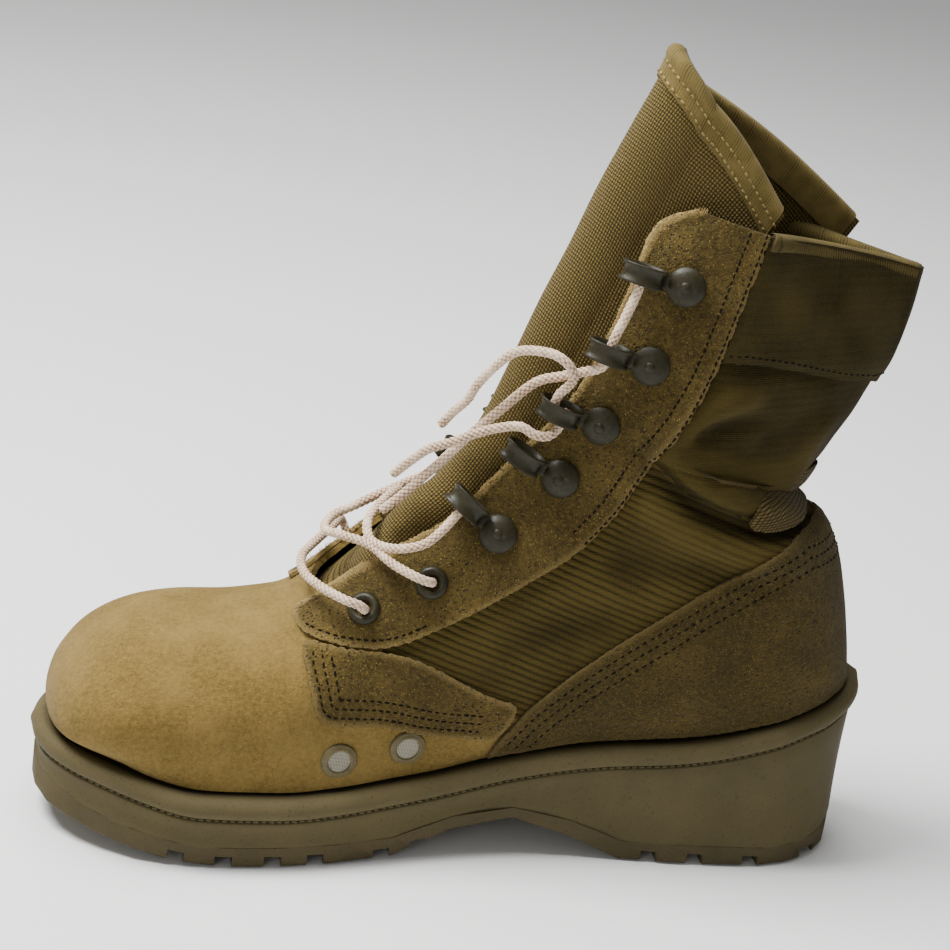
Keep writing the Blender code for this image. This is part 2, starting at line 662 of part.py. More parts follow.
def tongue_point(h, u):
    """A point on the tongue: h up its front line, u from -1, its inner edge, to 1, its outer edge."""
    drop = TONGUE_DROP_INNER if u < 0 else TONGUE_DROP_OUTER
    h = h * (1 - drop * abs(u) ** 1.3)
    places = np.arange(len(TONGUE["depth"]))

    def front(h):
        at = h * places[-1]
        s, z = (float(smooth(places, TONGUE[name], at)) for name in ("front_s", "front_z"))
        return np.array(place(s, z))

    at = h * places[-1]
    depth, nose, sides = (float(smooth(places, TONGUE[name], at)) for name in ("depth", "nose", "sides"))
    depth, nose, sides = depth * SOLE_LENGTH, nose * BALL_WIDTH, sides * BALL_WIDTH
    rise = front(min(h + 0.02, 1.0)) - front(h - 0.02 if h > 0.02 else 0.0)
    rise /= np.linalg.norm(rise)
    backward = np.array([rise[1], -rise[0]])
    nose_depth = min(1.4 * nose, depth)
    nose_share = 0.6
    if abs(u) < nose_share:
        angle = abs(u) / nose_share * math.pi / 2
        back, across = nose_depth * (1 - math.cos(angle)), nose * math.sin(angle)
    else:
        rest = (abs(u) - nose_share) / (1 - nose_share)
        back, across = nose_depth + (depth - nose_depth) * rest, nose + (sides - nose) * rest
    x, z = front(h) + back * backward
    return x, math.copysign(across, u), z


def build_tongue(group, look):
    heights = np.linspace(0, 1, 13)
    shares = np.linspace(-1, 1, 13)
    points = [tongue_point(h, u) for h in heights for u in shares]
    obj = mesh_object("tongue", points, grid_faces(len(heights), len(shares)), group, look)
    solidify(obj, -TONGUE_THICKNESS, 0.0)
    return obj


# Fittings
OUTER_FACE = CLEARANCE + OVERLAY_THICKNESS + CLEARANCE
EYELET_PROFILE = [
    (EYELET_HOLE, -OUTER_FACE - UPPER_WALL * 0.9), (EYELET_HOLE, 0.0008), (EYELET_HOLE + 0.0010, 0.0015),
    (EYELET_RADIUS - 0.0008, 0.0012), (EYELET_RADIUS, 0.0004), (EYELET_RADIUS, 0.0),
    (EYELET_HOLE + 0.0005, 0.0), (EYELET_HOLE + 0.0005, -OUTER_FACE - UPPER_WALL * 0.9),
]
HOOK_PROFILE = [
    (0.0, 0.0028), (HOOK_BASE_RADIUS * 0.45, 0.0026), (HOOK_BASE_RADIUS * 0.80, 0.0018),
    (HOOK_BASE_RADIUS, 0.0007), (HOOK_BASE_RADIUS, 0.0), (0.0, 0.0),
]
VENT_PROFILE = [
    (0.0, 0.0006), (VENT_RADIUS * 0.70, 0.0006), (VENT_RADIUS * 0.76, 0.0012), (VENT_RADIUS * 0.92, 0.0012),
    (VENT_RADIUS, 0.0005), (VENT_RADIUS, 0.0), (0.0, 0.0),
]
HOOK_RING_RADIUS = 0.0044
HOOK_RING_WALL = 0.0010
HOOK_RING_HEIGHT = 0.0068
HOOK_RING_STRETCH = 1.65
HOOK_RING_REACH = 0.0145
HOOK_RING_HOLE = HOOK_RING_RADIUS - HOOK_RING_WALL
HOOK_RING_PROFILE = [
    (HOOK_RING_RADIUS, HOOK_RING_HEIGHT / 2), (HOOK_RING_RADIUS, -HOOK_RING_HEIGHT / 2),
    (HOOK_RING_HOLE, -HOOK_RING_HEIGHT / 2), (HOOK_RING_HOLE, HOOK_RING_HEIGHT / 2),
]


def build_eyelets(group, look, walls, cutters):
    """Rolled rings through eyestay and upper, and the holes that they sit in."""
    for word, side in (("inner", -1), ("outer", 1)):
        for number, (s, z) in enumerate(EYELETS, 1):
            ring_obj = turned(f"eyelet_{word}_{number}", EYELET_PROFILE, 10, group, look, ring_shaped=True)
            stand_on_wall(ring_obj, s, z, side, OUTER_FACE)
            bpy.ops.mesh.primitive_cylinder_add(
                vertices=12, radius=EYELET_HOLE + 0.0005 + CLEARANCE, depth=0.014
            )
            bore = bpy.context.object
            bore.name = f"bore {word} {number}"
            for held in list(bore.users_collection):
                held.objects.unlink(bore)
            cutters.objects.link(hide(bore))
            stand_on_wall(bore, s, z, side, 0.0)
            boolean(walls["upper"], bore, "DIFFERENCE")
            boolean(walls[word], bore, "DIFFERENCE")


def build_hooks(group, look, cutters):
    """A domed base with a long ring beside it, open along the shaft, that stands over the throat's edge."""
    for word, side in (("inner", -1), ("outer", 1)):
        for number, (s, z) in enumerate(HOOKS, 1):
            hook = turned(f"hook_{word}_{number}", HOOK_PROFILE, 8, group, look)
            stand_on_wall(hook, s, z, side, OUTER_FACE + 2 * CLEARANCE)
            loop = turned(f"ring {word} {number}", HOOK_RING_PROFILE, 10, cutters, look, ring_shaped=True)
            hide(loop).parent = hook
            loop.location = (HOOK_RING_REACH, 0, HOOK_RING_RADIUS)
            loop.rotation_euler = (math.pi / 2, 0, 0)
            loop.scale = (HOOK_RING_STRETCH, 1, 1)
            arm_end = HOOK_RING_REACH - HOOK_RING_RADIUS * HOOK_RING_STRETCH * 0.5
            arm = box(
                f"arm {word} {number}", (arm_end, HOOK_RING_HEIGHT * 0.7, HOOK_RING_WALL),
                (arm_end / 2, 0, HOOK_RING_WALL * 0.8), 0, cutters,
            )
            arm.parent = hook
            boolean(hook, loop, "UNION")
            boolean(hook, arm, "UNION")


def build_vents(group, look):
    for number, (s, z) in enumerate(VENTS, 1):
        vent = turned(f"vent_{number}", VENT_PROFILE, 14, group, look)
        stand_on_wall(vent, s, z, -1, CLEARANCE)


# The lace: routes as shares of the sole's length from the heel, the ball width and the upper's height
LACE_RADIUS = 0.0015
LACE_POINT_STEP = 0.0090
LACE_CROSSINGS = {
    "from the second inner eyelet": [
        (0.557, -0.244, 0.419), (0.561, -0.284, 0.427), (0.568, -0.310, 0.433), (0.583, -0.310, 0.440),
        (0.607, -0.248, 0.446), (0.630, -0.148, 0.454), (0.657, -0.076, 0.452), (0.677, 0.010, 0.446),
        (0.667, 0.086, 0.454), (0.640, 0.114, 0.469), (0.603, 0.162, 0.487), (0.573, 0.210, 0.498),
        (0.553, 0.238, 0.507), (0.538, 0.245, 0.522), (0.526, 0.239, 0.541), (0.522, 0.237, 0.547),
    ],
    "from the first inner hook": [
        (0.524, -0.216, 0.544), (0.528, -0.217, 0.539), (0.538, -0.225, 0.523), (0.555, -0.251, 0.500),
        (0.573, -0.267, 0.482), (0.597, -0.248, 0.469), (0.617, -0.190, 0.460), (0.630, -0.124, 0.460),
        (0.630, -0.038, 0.473), (0.613, 0.057, 0.485), (0.593, 0.152, 0.490), (0.577, 0.248, 0.481),
        (0.565, 0.338, 0.465), (0.561, 0.395, 0.444), (0.559, 0.366, 0.428), (0.557, 0.333, 0.419),
    ],
}
LACE_BAR = [
    (0.631, -0.248, 0.370), (0.635, -0.284, 0.380), (0.643, -0.309, 0.390), (0.660, -0.290, 0.394),
    (0.682, -0.219, 0.396), (0.700, -0.105, 0.396), (0.700, 0.019, 0.400), (0.680, 0.133, 0.406),
    (0.660, 0.248, 0.408), (0.648, 0.352, 0.404), (0.642, 0.398, 0.391), (0.637, 0.370, 0.380),
    (0.634, 0.342, 0.370),
]
LACE_CORDS = {
    "lace_run": [
        (0.369, -0.262, 0.908), (0.370, -0.264, 0.902), (0.374, -0.266, 0.876), (0.383, -0.275, 0.842),
        (0.392, -0.278, 0.810), (0.396, -0.277, 0.786), (0.401, -0.273, 0.766), (0.417, -0.244, 0.753),
        (0.440, -0.217, 0.740), (0.468, -0.190, 0.723), (0.503, -0.165, 0.673), (0.533, -0.138, 0.627),
        (0.560, -0.124, 0.583), (0.597, -0.095, 0.525), (0.617, -0.076, 0.496),
    ],
    "lace_end_low": [
        (0.431, -0.241, 0.693), (0.432, -0.240, 0.688), (0.437, -0.238, 0.667), (0.449, -0.257, 0.656),
        (0.465, -0.267, 0.658), (0.483, -0.257, 0.667), (0.510, -0.238, 0.658), (0.533, -0.210, 0.642),
        (0.553, -0.176, 0.623), (0.575, -0.133, 0.604), (0.593, -0.095, 0.577), (0.608, -0.057, 0.550),
    ],
    "lace_end_high": [
        (0.447, -0.237, 0.693), (0.446, -0.238, 0.700), (0.442, -0.243, 0.717), (0.433, -0.261, 0.735),
        (0.432, -0.282, 0.752), (0.443, -0.286, 0.770), (0.462, -0.267, 0.779), (0.493, -0.229, 0.773),
        (0.513, -0.190, 0.746), (0.530, -0.148, 0.708), (0.537, -0.119, 0.681), (0.550, -0.090, 0.656),
        (0.560, -0.057, 0.631),
    ],
}


def smooth_route(points):
    """Points every few diameters on a smooth curve through a route."""
    points = np.array([(HEEL_CENTRE - s * SOLE_LENGTH, y * BALL_WIDTH, z * UPPER_HEIGHT) for s, y, z in points])
    whole = np.vstack([2 * points[0] - points[1], points, 2 * points[-1] - points[-2]])
    fine = []
    for k in range(1, len(whole) - 2):
        before, here, ahead, beyond = whole[k - 1 : k + 3]
        for u in np.linspace(0, 1, 24, endpoint=False):
            fine.append(
                0.5 * (2 * here + (ahead - before) * u + (2 * before - 5 * here + 4 * ahead - beyond) * u**2
                       + (3 * here - before - 3 * ahead + beyond) * u**3)
            )
    fine = np.vstack([fine, points[-1]])
    far = np.concatenate([[0], np.cumsum(np.linalg.norm(np.diff(fine, axis=0), axis=1))])
    count = max(int(round(far[-1] / LACE_POINT_STEP)), 3)
    marks = np.linspace(0, far[-1], count + 1)
    return np.column_stack([np.interp(marks, far, fine[:, axis]) for axis in range(3)])


def lace(name, points, group, look):
    """A cord as a tube along its route."""
    curve = bpy.data.curves.new(name, "CURVE")
    curve.dimensions = "3D"
    curve.bevel_depth = LACE_RADIUS
    curve.bevel_resolution = 2
    curve.use_fill_caps = True
    curve.materials.append(look)
    route = smooth_route(points)
    spline = curve.splines.new("POLY")
    spline.points.add(len(route) - 1)
    for point, place_of in zip(spline.points, route):
        point.co = (*place_of, 1)
    obj = bpy.data.objects.new(name, curve)
    group.objects.link(obj)
    return obj


def as_mesh(obj, group):
    """The mesh of a tube, its caps welded, in place of the curve."""
    bpy.context.view_layer.update()
    graph = bpy.context.evaluated_depsgraph_get()
    mesh = bpy.data.meshes.new_from_object(obj.evaluated_get(graph))
    shape = bmesh.new()
    shape.from_mesh(mesh)
    bmesh.ops.remove_doubles(shape, verts=shape.verts, dist=1e-6)
    shape.to_mesh(mesh)
    shape.free()
    name = obj.name
    bpy.data.objects.remove(obj, do_unlink=True)
    made = bpy.data.objects.new(name, mesh)
    group.objects.link(made)
    return made


def build_laces(group, look, cutters):
    first, second = LACE_CROSSINGS.values()
    crossings = as_mesh(lace("lace_crossings", first, group, look), group)
    boolean(crossings, hide(as_mesh(lace("second crossing", second, cutters, look), cutters)), "UNION")
    lace("lace_bar", LACE_BAR, group, look)
    for name, points in LACE_CORDS.items():
        lace(name, points, group, look)


def main():
    clear_scene()
    boot = collection("combat boot")
    cutters = collection("cutters")
    rubber = material("moulded sole", (0.16, 0.13, 0.09), 0.6)
    suede = material("suede", (0.25, 0.19, 0.11), 0.9)
    nylon = material("nylon", (0.20, 0.16, 0.10), 0.85)
    metal = material("painted metal", (0.13, 0.10, 0.08), 0.45, 0.4)
    cord = material("lace cord", (0.45, 0.35, 0.26), 0.8)
    build_outsole(boot, rubber, cutters)
    build_midsole(boot, rubber)
    build_insole(boot, nylon)
    upper = build_upper(boot, suede, cutters)
    overlays = build_overlays(boot, suede, nylon, cutters)
    build_tongue(boot, nylon)
    walls = {"upper": upper, "inner": overlays["eyestay_inner"], "outer": overlays["eyestay_outer"]}
    build_eyelets(boot, metal, walls, cutters)
    build_hooks(boot, metal, cutters)
    build_vents(boot, metal)
    build_laces(boot, cord, cutters)


main()
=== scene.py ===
"""The looks of a right combat boot: suede, nylon, tape, lace, painted metal and moulded sole."""

import math

import bmesh
import bpy
import numpy as np
from mathutils import Matrix, Vector
from mathutils.bvhtree import BVHTree


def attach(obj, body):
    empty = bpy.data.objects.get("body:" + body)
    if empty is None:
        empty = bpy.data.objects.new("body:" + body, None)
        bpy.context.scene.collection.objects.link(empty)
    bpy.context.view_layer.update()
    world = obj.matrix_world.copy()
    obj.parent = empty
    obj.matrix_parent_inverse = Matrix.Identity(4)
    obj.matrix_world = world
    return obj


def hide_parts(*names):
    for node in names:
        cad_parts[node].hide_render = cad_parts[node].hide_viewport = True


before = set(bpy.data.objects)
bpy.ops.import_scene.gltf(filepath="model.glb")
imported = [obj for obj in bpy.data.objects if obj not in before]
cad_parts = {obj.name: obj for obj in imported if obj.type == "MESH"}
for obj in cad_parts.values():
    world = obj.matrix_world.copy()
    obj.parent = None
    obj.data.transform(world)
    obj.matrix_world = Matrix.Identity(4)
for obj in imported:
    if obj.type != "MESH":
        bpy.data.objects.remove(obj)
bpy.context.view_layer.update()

# Sizes of the sole, as in the part's source
SOLE_LENGTH = 0.300
BALL_WIDTH = 0.105
HEEL_CENTRE = 0.042
LEDGE_HEIGHT = 0.065
ARCH_HEIGHT = 0.0135
TOE_SPRING = 0.0105
HEEL_BEVEL = 0.005
OUTSOLE_EDGE = 0.0075
LIP_HEIGHT = 0.0075
LEDGE_INSET = 0.007
FLOOR_HEIGHT = 0.030

# Sizes of the upper, as in the part's source
UPPER_HEIGHT = 0.240
UPPER_WALL = 0.0022
OVERLAY_THICKNESS = 0.0016
TONGUE_THICKNESS = 0.0024
CLEARANCE = 0.0003

# How finely the looks are divided
OUTLINE_STEPS = 110
WALL_STEP = 0.0018
LAYER_STEP = 0.0010
BAND_STEP = 0.0014
PATCH_WIDTH = 0.110
TONGUE_ROWS = 110
TONGUE_COLUMNS = 120
COLLAR_POINTS = 520

# Small sizes of the looks
RIM_ROUNDING = 0.0004
EDGE_WANDER = 0.00022
RIPPLE_HEIGHT = 0.00016
EYESTAY_NEAREST = 0.012
TAB_NEAREST = 0.020
GUSSET_CLOTH = 0.0012
COLLAR_TAPE_END = 0.231
# How far the cup reaches down into the tread, out of sight
FOOT_OVERLAP = 0.0028
YARN_ROUGHNESS = 0.85
WEAVE_RELIEF = 0.0006
WIRE_PITCH = 0.00055


def table(columns, rows):
    """Rows of numbers as a dictionary of columns."""
    return dict(zip(columns.split(), np.array(rows, float).T))


def smooth(places, values, at):
    """A curve through the values that never overshoots them."""
    places, values = np.asarray(places, float), np.asarray(values, float)
    step = np.diff(places)
    slope = np.diff(values) / step
    tangent = np.empty_like(values)
    tangent[0], tangent[-1] = slope[0], slope[-1]
    product = slope[:-1] * slope[1:]
    total = slope[:-1] + slope[1:]
    tangent[1:-1] = np.where(product > 0, 2 * product / np.where(product > 0, total, 1), 0)
    at = np.clip(at, places[0], places[-1])
    k = np.clip(np.searchsorted(places, at, side="right") - 1, 0, len(step) - 1)
    u = (at - places[k]) / step[k]
    rise = values[k + 1] - values[k]
    bend_in = tangent[k] * step[k] - rise
    bend_out = rise - tangent[k + 1] * step[k]
    return values[k] + u * rise + u * (1 - u) * (bend_in * (1 - u) + bend_out * u)


# Sole outline: share of the length from the heel, and half widths as shares of the ball width
OUTLINE = table("along outer inner", [
    (0.000, 0.000, 0.000),
    (0.010, 0.114, 0.114),
    (0.027, 0.195, 0.195),
    (0.067, 0.286, 0.286),
    (0.133, 0.343, 0.338),
    (0.233, 0.367, 0.343),
    (0.333, 0.371, 0.324),
    (0.433, 0.395, 0.329),
    (0.533, 0.443, 0.371),
    (0.633, 0.490, 0.443),
    (0.717, 0.505, 0.490),
    (0.800, 0.486, 0.505),
    (0.867, 0.429, 0.476),
    (0.933, 0.314, 0.390),
    (0.973, 0.181, 0.295),
    (0.993, 0.040, 0.195),
    (1.000, -0.076, 0.076),
])

# Heights along the sole: shares of the ledge height at the heel, and of the floor height
HEIGHTS = table("along ledge floor", [
    (0.000, 1.045, 1.067),
    (0.070, 0.940, 1.040),
    (0.200, 0.760, 1.000),
    (0.367, 0.645, 0.833),
    (0.567, 0.446, 0.533),
    (0.700, 0.392, 0.433),
    (0.800, 0.400, 0.433),
    (0.900, 0.485, 0.570),
    (1.000, 0.554, 0.830),
])

# The underside: shares of heel bevel, arch height and toe spring, and the outsole's edge line
UNDERSIDE = table("along bevel arch spring edge", [
    (0.000, 1.00, 0.00, 0.00, 1.55),
    (0.050, 0.00, 0.00, 0.00, 1.20),
    (0.100, 0.00, 0.00, 0.00, 1.00),
    (0.300, 0.00, 0.00, 0.00, 1.00),
    (0.350, 0.00, 0.45, 0.00, 0.90),
    (0.390, 0.00, 0.85, 0.00, 0.70),
    (0.450, 0.00, 1.00, 0.00, 0.55),
    (0.500, 0.00, 0.70, 0.00, 0.70),
    (0.560, 0.00, 0.15, 0.00, 1.00),
    (0.590, 0.00, 0.00, 0.00, 1.00),
    (0.780, 0.00, 0.00, 0.00, 1.00),
    (0.900, 0.00, 0.00, 0.50, 1.00),
    (0.970, 0.00, 0.00, 0.85, 1.35),
    (1.000, 0.00, 0.00, 1.00, 1.85),
])

# Sections of the upper, fanned from the toe to the collar. The front end lies on the crown line and the
# back end on the ledge, or for a closed section above it on the heel line. Columns ending in _s are shares
# of the sole's length from the heel, _z a share of the upper's height, _rise a share of the shaft's height
# over the ledge, and inner and outer are half widths as shares of the ball width. Widest is where along the
# section the wall is widest, and the next two are its roundness.
UPPER = table("front_s front_z back_s back_rise inner outer widest low crown closed", [
    (0.9790, 0.160, 0.9780, 0.0000, 0.000, 0.000, 0.30, 2.0, 2.2, 0),
    (0.9850, 0.180, 0.9600, 0.0000, 0.200, 0.060, 0.30, 2.0, 2.2, 0),
    (0.9800, 0.210, 0.9400, 0.0000, 0.300, 0.160, 0.32, 2.0, 2.2, 0),
    (0.9650, 0.243, 0.9150, 0.0000, 0.365, 0.270, 0.33, 2.0, 2.2, 0),
    (0.9380, 0.274, 0.8850, 0.0000, 0.410, 0.345, 0.33, 2.0, 2.2, 0),
    (0.9000, 0.298, 0.8500, 0.0000, 0.430, 0.390, 0.33, 2.0, 2.2, 0),
    (0.8500, 0.311, 0.8100, 0.0000, 0.438, 0.415, 0.33, 2.0, 2.15, 0),
    (0.7830, 0.318, 0.7630, 0.0000, 0.435, 0.432, 0.33, 2.0, 2.1, 0),
    (0.7250, 0.331, 0.7130, 0.0000, 0.425, 0.440, 0.33, 2.0, 2.05, 0),
    (0.6920, 0.361, 0.6500, 0.0000, 0.410, 0.435, 0.34, 2.0, 2.0, 0),
    (0.6520, 0.412, 0.5600, 0.0000, 0.380, 0.415, 0.35, 2.0, 2.0, 0),
    (0.6120, 0.468, 0.4500, 0.0000, 0.352, 0.390, 0.36, 2.0, 2.0, 0),
    (0.5780, 0.513, 0.3300, 0.0000, 0.335, 0.365, 0.37, 2.0, 2.0, 0),
    (0.5510, 0.548, 0.2000, 0.0000, 0.322, 0.342, 0.38, 2.0, 2.0, 0),
    (0.5320, 0.576, 0.1000, 0.0000, 0.316, 0.330, 0.37, 2.0, 2.0, 0),
    (0.5180, 0.600, 0.0500, 0.0000, 0.314, 0.324, 0.35, 2.0, 2.0, 0),
    (0.5060, 0.620, 0.0240, 0.0025, 0.314, 0.322, 0.34, 2.1, 2.0, 1),
    (0.4980, 0.634, 0.0330, 0.0830, 0.314, 0.322, 0.34, 2.1, 2.0, 1),
    (0.4900, 0.648, 0.0460, 0.1863, 0.310, 0.318, 0.35, 2.0, 2.0, 1),
    (0.4830, 0.660, 0.0620, 0.2843, 0.302, 0.310, 0.37, 1.9, 2.0, 1),
    (0.4770, 0.671, 0.0860, 0.3755, 0.290, 0.298, 0.40, 1.7, 2.0, 1),
    (0.4720, 0.680, 0.1180, 0.4294, 0.278, 0.286, 0.43, 1.5, 2.0, 1),
    (0.4660, 0.692, 0.1340, 0.4576, 0.266, 0.276, 0.45, 1.4, 2.0, 1),
    (0.4580, 0.712, 0.1200, 0.4854, 0.276, 0.284, 0.46, 1.4, 2.0, 1),
    (0.4450, 0.748, 0.0960, 0.5348, 0.284, 0.288, 0.48, 1.4, 2.0, 1),
    (0.4250, 0.803, 0.0660, 0.6156, 0.284, 0.286, 0.52, 1.3, 2.0, 1),
    (0.4040, 0.865, 0.0440, 0.7132, 0.276, 0.278, 0.56, 1.15, 2.0, 1),
    (0.3790, 0.932, 0.0340, 0.8036, 0.266, 0.266, 0.60, 0.95, 2.0, 1),
    (0.3500, 1.000, 0.0290, 0.8858, 0.258, 0.258, 0.62, 0.8, 2.0, 1),
])

# Side outlines, as shares of the sole's length from the heel and of the upper's height
THROAT_TOP = [
    (0.2000, 1.060), (0.2600, 1.020), (0.3060, 0.9960), (0.3316, 0.9797), (0.3480, 0.9610),
    (0.3580, 0.9380), (0.3640, 0.9120), (0.3720, 0.8700),
]
THROAT_SIDE = [
    (0.3830, 0.825), (0.4100, 0.725), (0.4430, 0.654), (0.4930, 0.575), (0.5330, 0.508), (0.5970, 0.450),
]
THROAT_FRONT = [(0.6500, 0.400), (0.6760, 0.3700), (0.6980, 0.3660)]
EYESTAY_FRONT = [(0.7060, 0.3520), (0.7055, 0.3340), (0.7000, 0.3225)]
EYESTAY_LOWER = [(0.6500, 0.319), (0.5970, 0.321)]
EYESTAY_BACK = [
    (0.5330, 0.363), (0.4570, 0.425), (0.3730, 0.508), (0.3300, 0.629), (0.2930, 0.708), (0.2730, 0.775),
    (0.2570, 0.867), (0.2330, 0.990), (0.2300, 1.060),
]
TAB_SHAPE = [
    (0.7020, 0.3195), (0.6500, 0.3160), (0.6000, 0.3180), (0.5600, 0.3080), (0.5224, 0.2860),
    (0.4724, 0.2555), (0.4370, 0.2480), (0.4620, 0.1870), (0.4751, 0.1890), (0.5428, 0.1945),
    (0.6027, 0.2125), (0.6318, 0.2135), (0.6770, 0.2165), (0.6890, 0.2712),
]
COUNTER_TOP = [
    (0.4560, 0.190), (0.4270, 0.246), (0.3570, 0.333), (0.2500, 0.438), (0.1770, 0.504),
    (0.1300, 0.530), (0.0900, 0.540), (-0.100, 0.550),
]
COUNTER_FOOT_RISE = 0.0018
SEAM = 0.002
CUFF = [(s - SEAM, z) for s, z in EYESTAY_BACK[:5:-1]] + [
    (0.2680, 0.790), (0.2400, 0.792), (0.1800, 0.780), (0.1100, 0.758), (0.0100, 0.735), (-0.100, 0.735),
    (-0.100, 1.060),
]

# Where the fittings sit, as shares of the sole's length from the heel and of the upper's height
EYELETS = [(0.6300, 0.367), (0.5567, 0.417)]
HOOKS = [(0.4867, 0.496), (0.4233, 0.588), (0.3867, 0.675), (0.3433, 0.771), (0.3167, 0.887)]
VENTS = [(0.6467, 0.1580), (0.5667, 0.1740)]
EYELET_RADIUS = 0.0058
EYELET_HOLE = 0.0026
HOOK_BASE_RADIUS = 0.0068
VENT_RADIUS = 0.0065

# The tongue: its front line, how far its sides run back, and its nose's and its sides' half widths, as
# shares of the sole's length, the upper's height, the sole's length and the ball width
TONGUE = table("front_s front_z depth nose sides", [
    (0.6600, 0.352, 0.012, 0.095, 0.095),
    (0.6300, 0.420, 0.022, 0.100, 0.100),
    (0.5930, 0.490, 0.055, 0.105, 0.120),
    (0.5500, 0.550, 0.085, 0.090, 0.112),
    (0.5130, 0.633, 0.120, 0.094, 0.135),
    (0.4870, 0.729, 0.145, 0.106, 0.165),
    (0.4630, 0.821, 0.160, 0.114, 0.180),
    (0.4370, 0.904, 0.175, 0.116, 0.180),
    (0.4130, 0.987, 0.185, 0.120, 0.175),
    (0.3870, 1.067, 0.190, 0.120, 0.165),
    (0.3600, 1.150, 0.195, 0.115, 0.160),
    (0.3470, 1.196, 0.195, 0.110, 0.155),
])
# How far the tongue's sides drop, as shares of its height, and how their depth differs from the table
TONGUE_DROP_INNER = 0.168
TONGUE_DROP_OUTER = 0.138
TONGUE_DEPTH_INNER = 0.96
TONGUE_FLARE_OUTER = 0.58


def place(s, z):
    """Metres in side view from shares of the sole's length and of the upper's height."""
    return HEEL_CENTRE - s * SOLE_LENGTH, z * UPPER_HEIGHT


# The sole's outline and heights
def outline_points(inset):
    """The sole's outline moved inwards: paired inner and outer points from heel to toe."""
    turn = np.linspace(0, math.pi, OUTLINE_STEPS + 1)
    along = (1 - np.cos(turn)) / 2
    outer = smooth(OUTLINE["along"], OUTLINE["outer"], along) * BALL_WIDTH
    inner = -smooth(OUTLINE["along"], OUTLINE["inner"], along) * BALL_WIDTH
    x = HEEL_CENTRE - along * SOLE_LENGTH
    loop = np.concatenate([np.stack([x, inner], 1), np.stack([x, outer], 1)[-2:0:-1]])
    ahead, behind = np.roll(loop, -1, 0), np.roll(loop, 1, 0)
    tangent = ahead - behind
    tangent /= np.linalg.norm(tangent, axis=1, keepdims=True)
    return loop + inset * np.stack([tangent[:, 1], -tangent[:, 0]], 1)


def share_along(x):
    return (HEEL_CENTRE - x) / SOLE_LENGTH


def ledge(x):
    return smooth(HEIGHTS["along"], HEIGHTS["ledge"], share_along(x)) * LEDGE_HEIGHT


def floor(x):
    return smooth(HEIGHTS["along"], HEIGHTS["floor"], share_along(x)) * FLOOR_HEIGHT


def underside(x, y):
    s = share_along(x)
    bevel = smooth(UNDERSIDE["along"], UNDERSIDE["bevel"], s) * HEEL_BEVEL
    spring = smooth(UNDERSIDE["along"], UNDERSIDE["spring"], s) * TOE_SPRING
    arch = smooth(UNDERSIDE["along"], UNDERSIDE["arch"], s) * ARCH_HEIGHT
    inner_share = np.clip(0.85 - y / BALL_WIDTH, 0.5, 1.1)
    return bevel + spring + arch * inner_share


def outsole_top(x, y):
    edge = smooth(UNDERSIDE["along"], UNDERSIDE["edge"], share_along(x)) * OUTSOLE_EDGE
    return underside(x, y) + edge


def midsole_ledge_line():
    """The ledge's inner and outer sides, each from heel to toe."""
    loop = outline_points(LEDGE_INSET)
    inner, outer = loop[: OUTLINE_STEPS + 1], loop[np.r_[0, len(loop) - 1 : OUTLINE_STEPS - 1 : -1]]
    inner[0, 1] = outer[0, 1] = 0.0
    return inner, outer


LEDGE_LINE = midsole_ledge_line()


def ledge_half_width(s, side):
    """The ledge line's distance from the middle at shares of the length, each on its own side."""
    x = HEEL_CENTRE - s * SOLE_LENGTH
    inner = np.interp(-x, -LEDGE_LINE[0][:, 0], LEDGE_LINE[0][:, 1])
    outer = np.interp(-x, -LEDGE_LINE[1][:, 0], LEDGE_LINE[1][:, 1])
    return np.where(side < 0, inner, outer)


# The upper's wall, the same function as in the part's source, for many places at once
TURN_SHARE = 0.42
FIRST_CLOSED = int(np.argmax(UPPER["closed"]))
LAST_SECTION = len(UPPER["closed"]) - 1


def sections(t):
    """The upper's sections at t from 0, the toe, to 1, the collar, as columns."""
    at = np.clip(t, 0, 1) * LAST_SECTION
    row = {name: smooth(np.arange(LAST_SECTION + 1), values, at) for name, values in UPPER.items()}
    closed = at >= FIRST_CLOSED
    row["top_x"], row["top_z"] = place(row["front_s"], row["front_z"])
    row["back_x"] = HEEL_CENTRE - row["back_s"] * SOLE_LENGTH
    row["back_z"] = ledge(row["back_x"]) + 3 * CLEARANCE + row["back_rise"] * (UPPER_HEIGHT - LEDGE_HEIGHT)
    for word, side in (("foot_inner", -1), ("foot_outer", 1)):
        row[word] = np.where(closed, 0.0, ledge_half_width(row["back_s"], side))
    row["plan_shift"] = np.where(closed, LEDGE_INSET / SOLE_LENGTH - row["back_s"], 0.0)
    by_share = smooth([0, 0.2, 0.45, 1], [1, 1, 0, 0], row["back_s"])
    row["heel"] = np.where(closed, np.clip(1 - (at - FIRST_CLOSED) / 5, 0, 1), by_share)
    return row


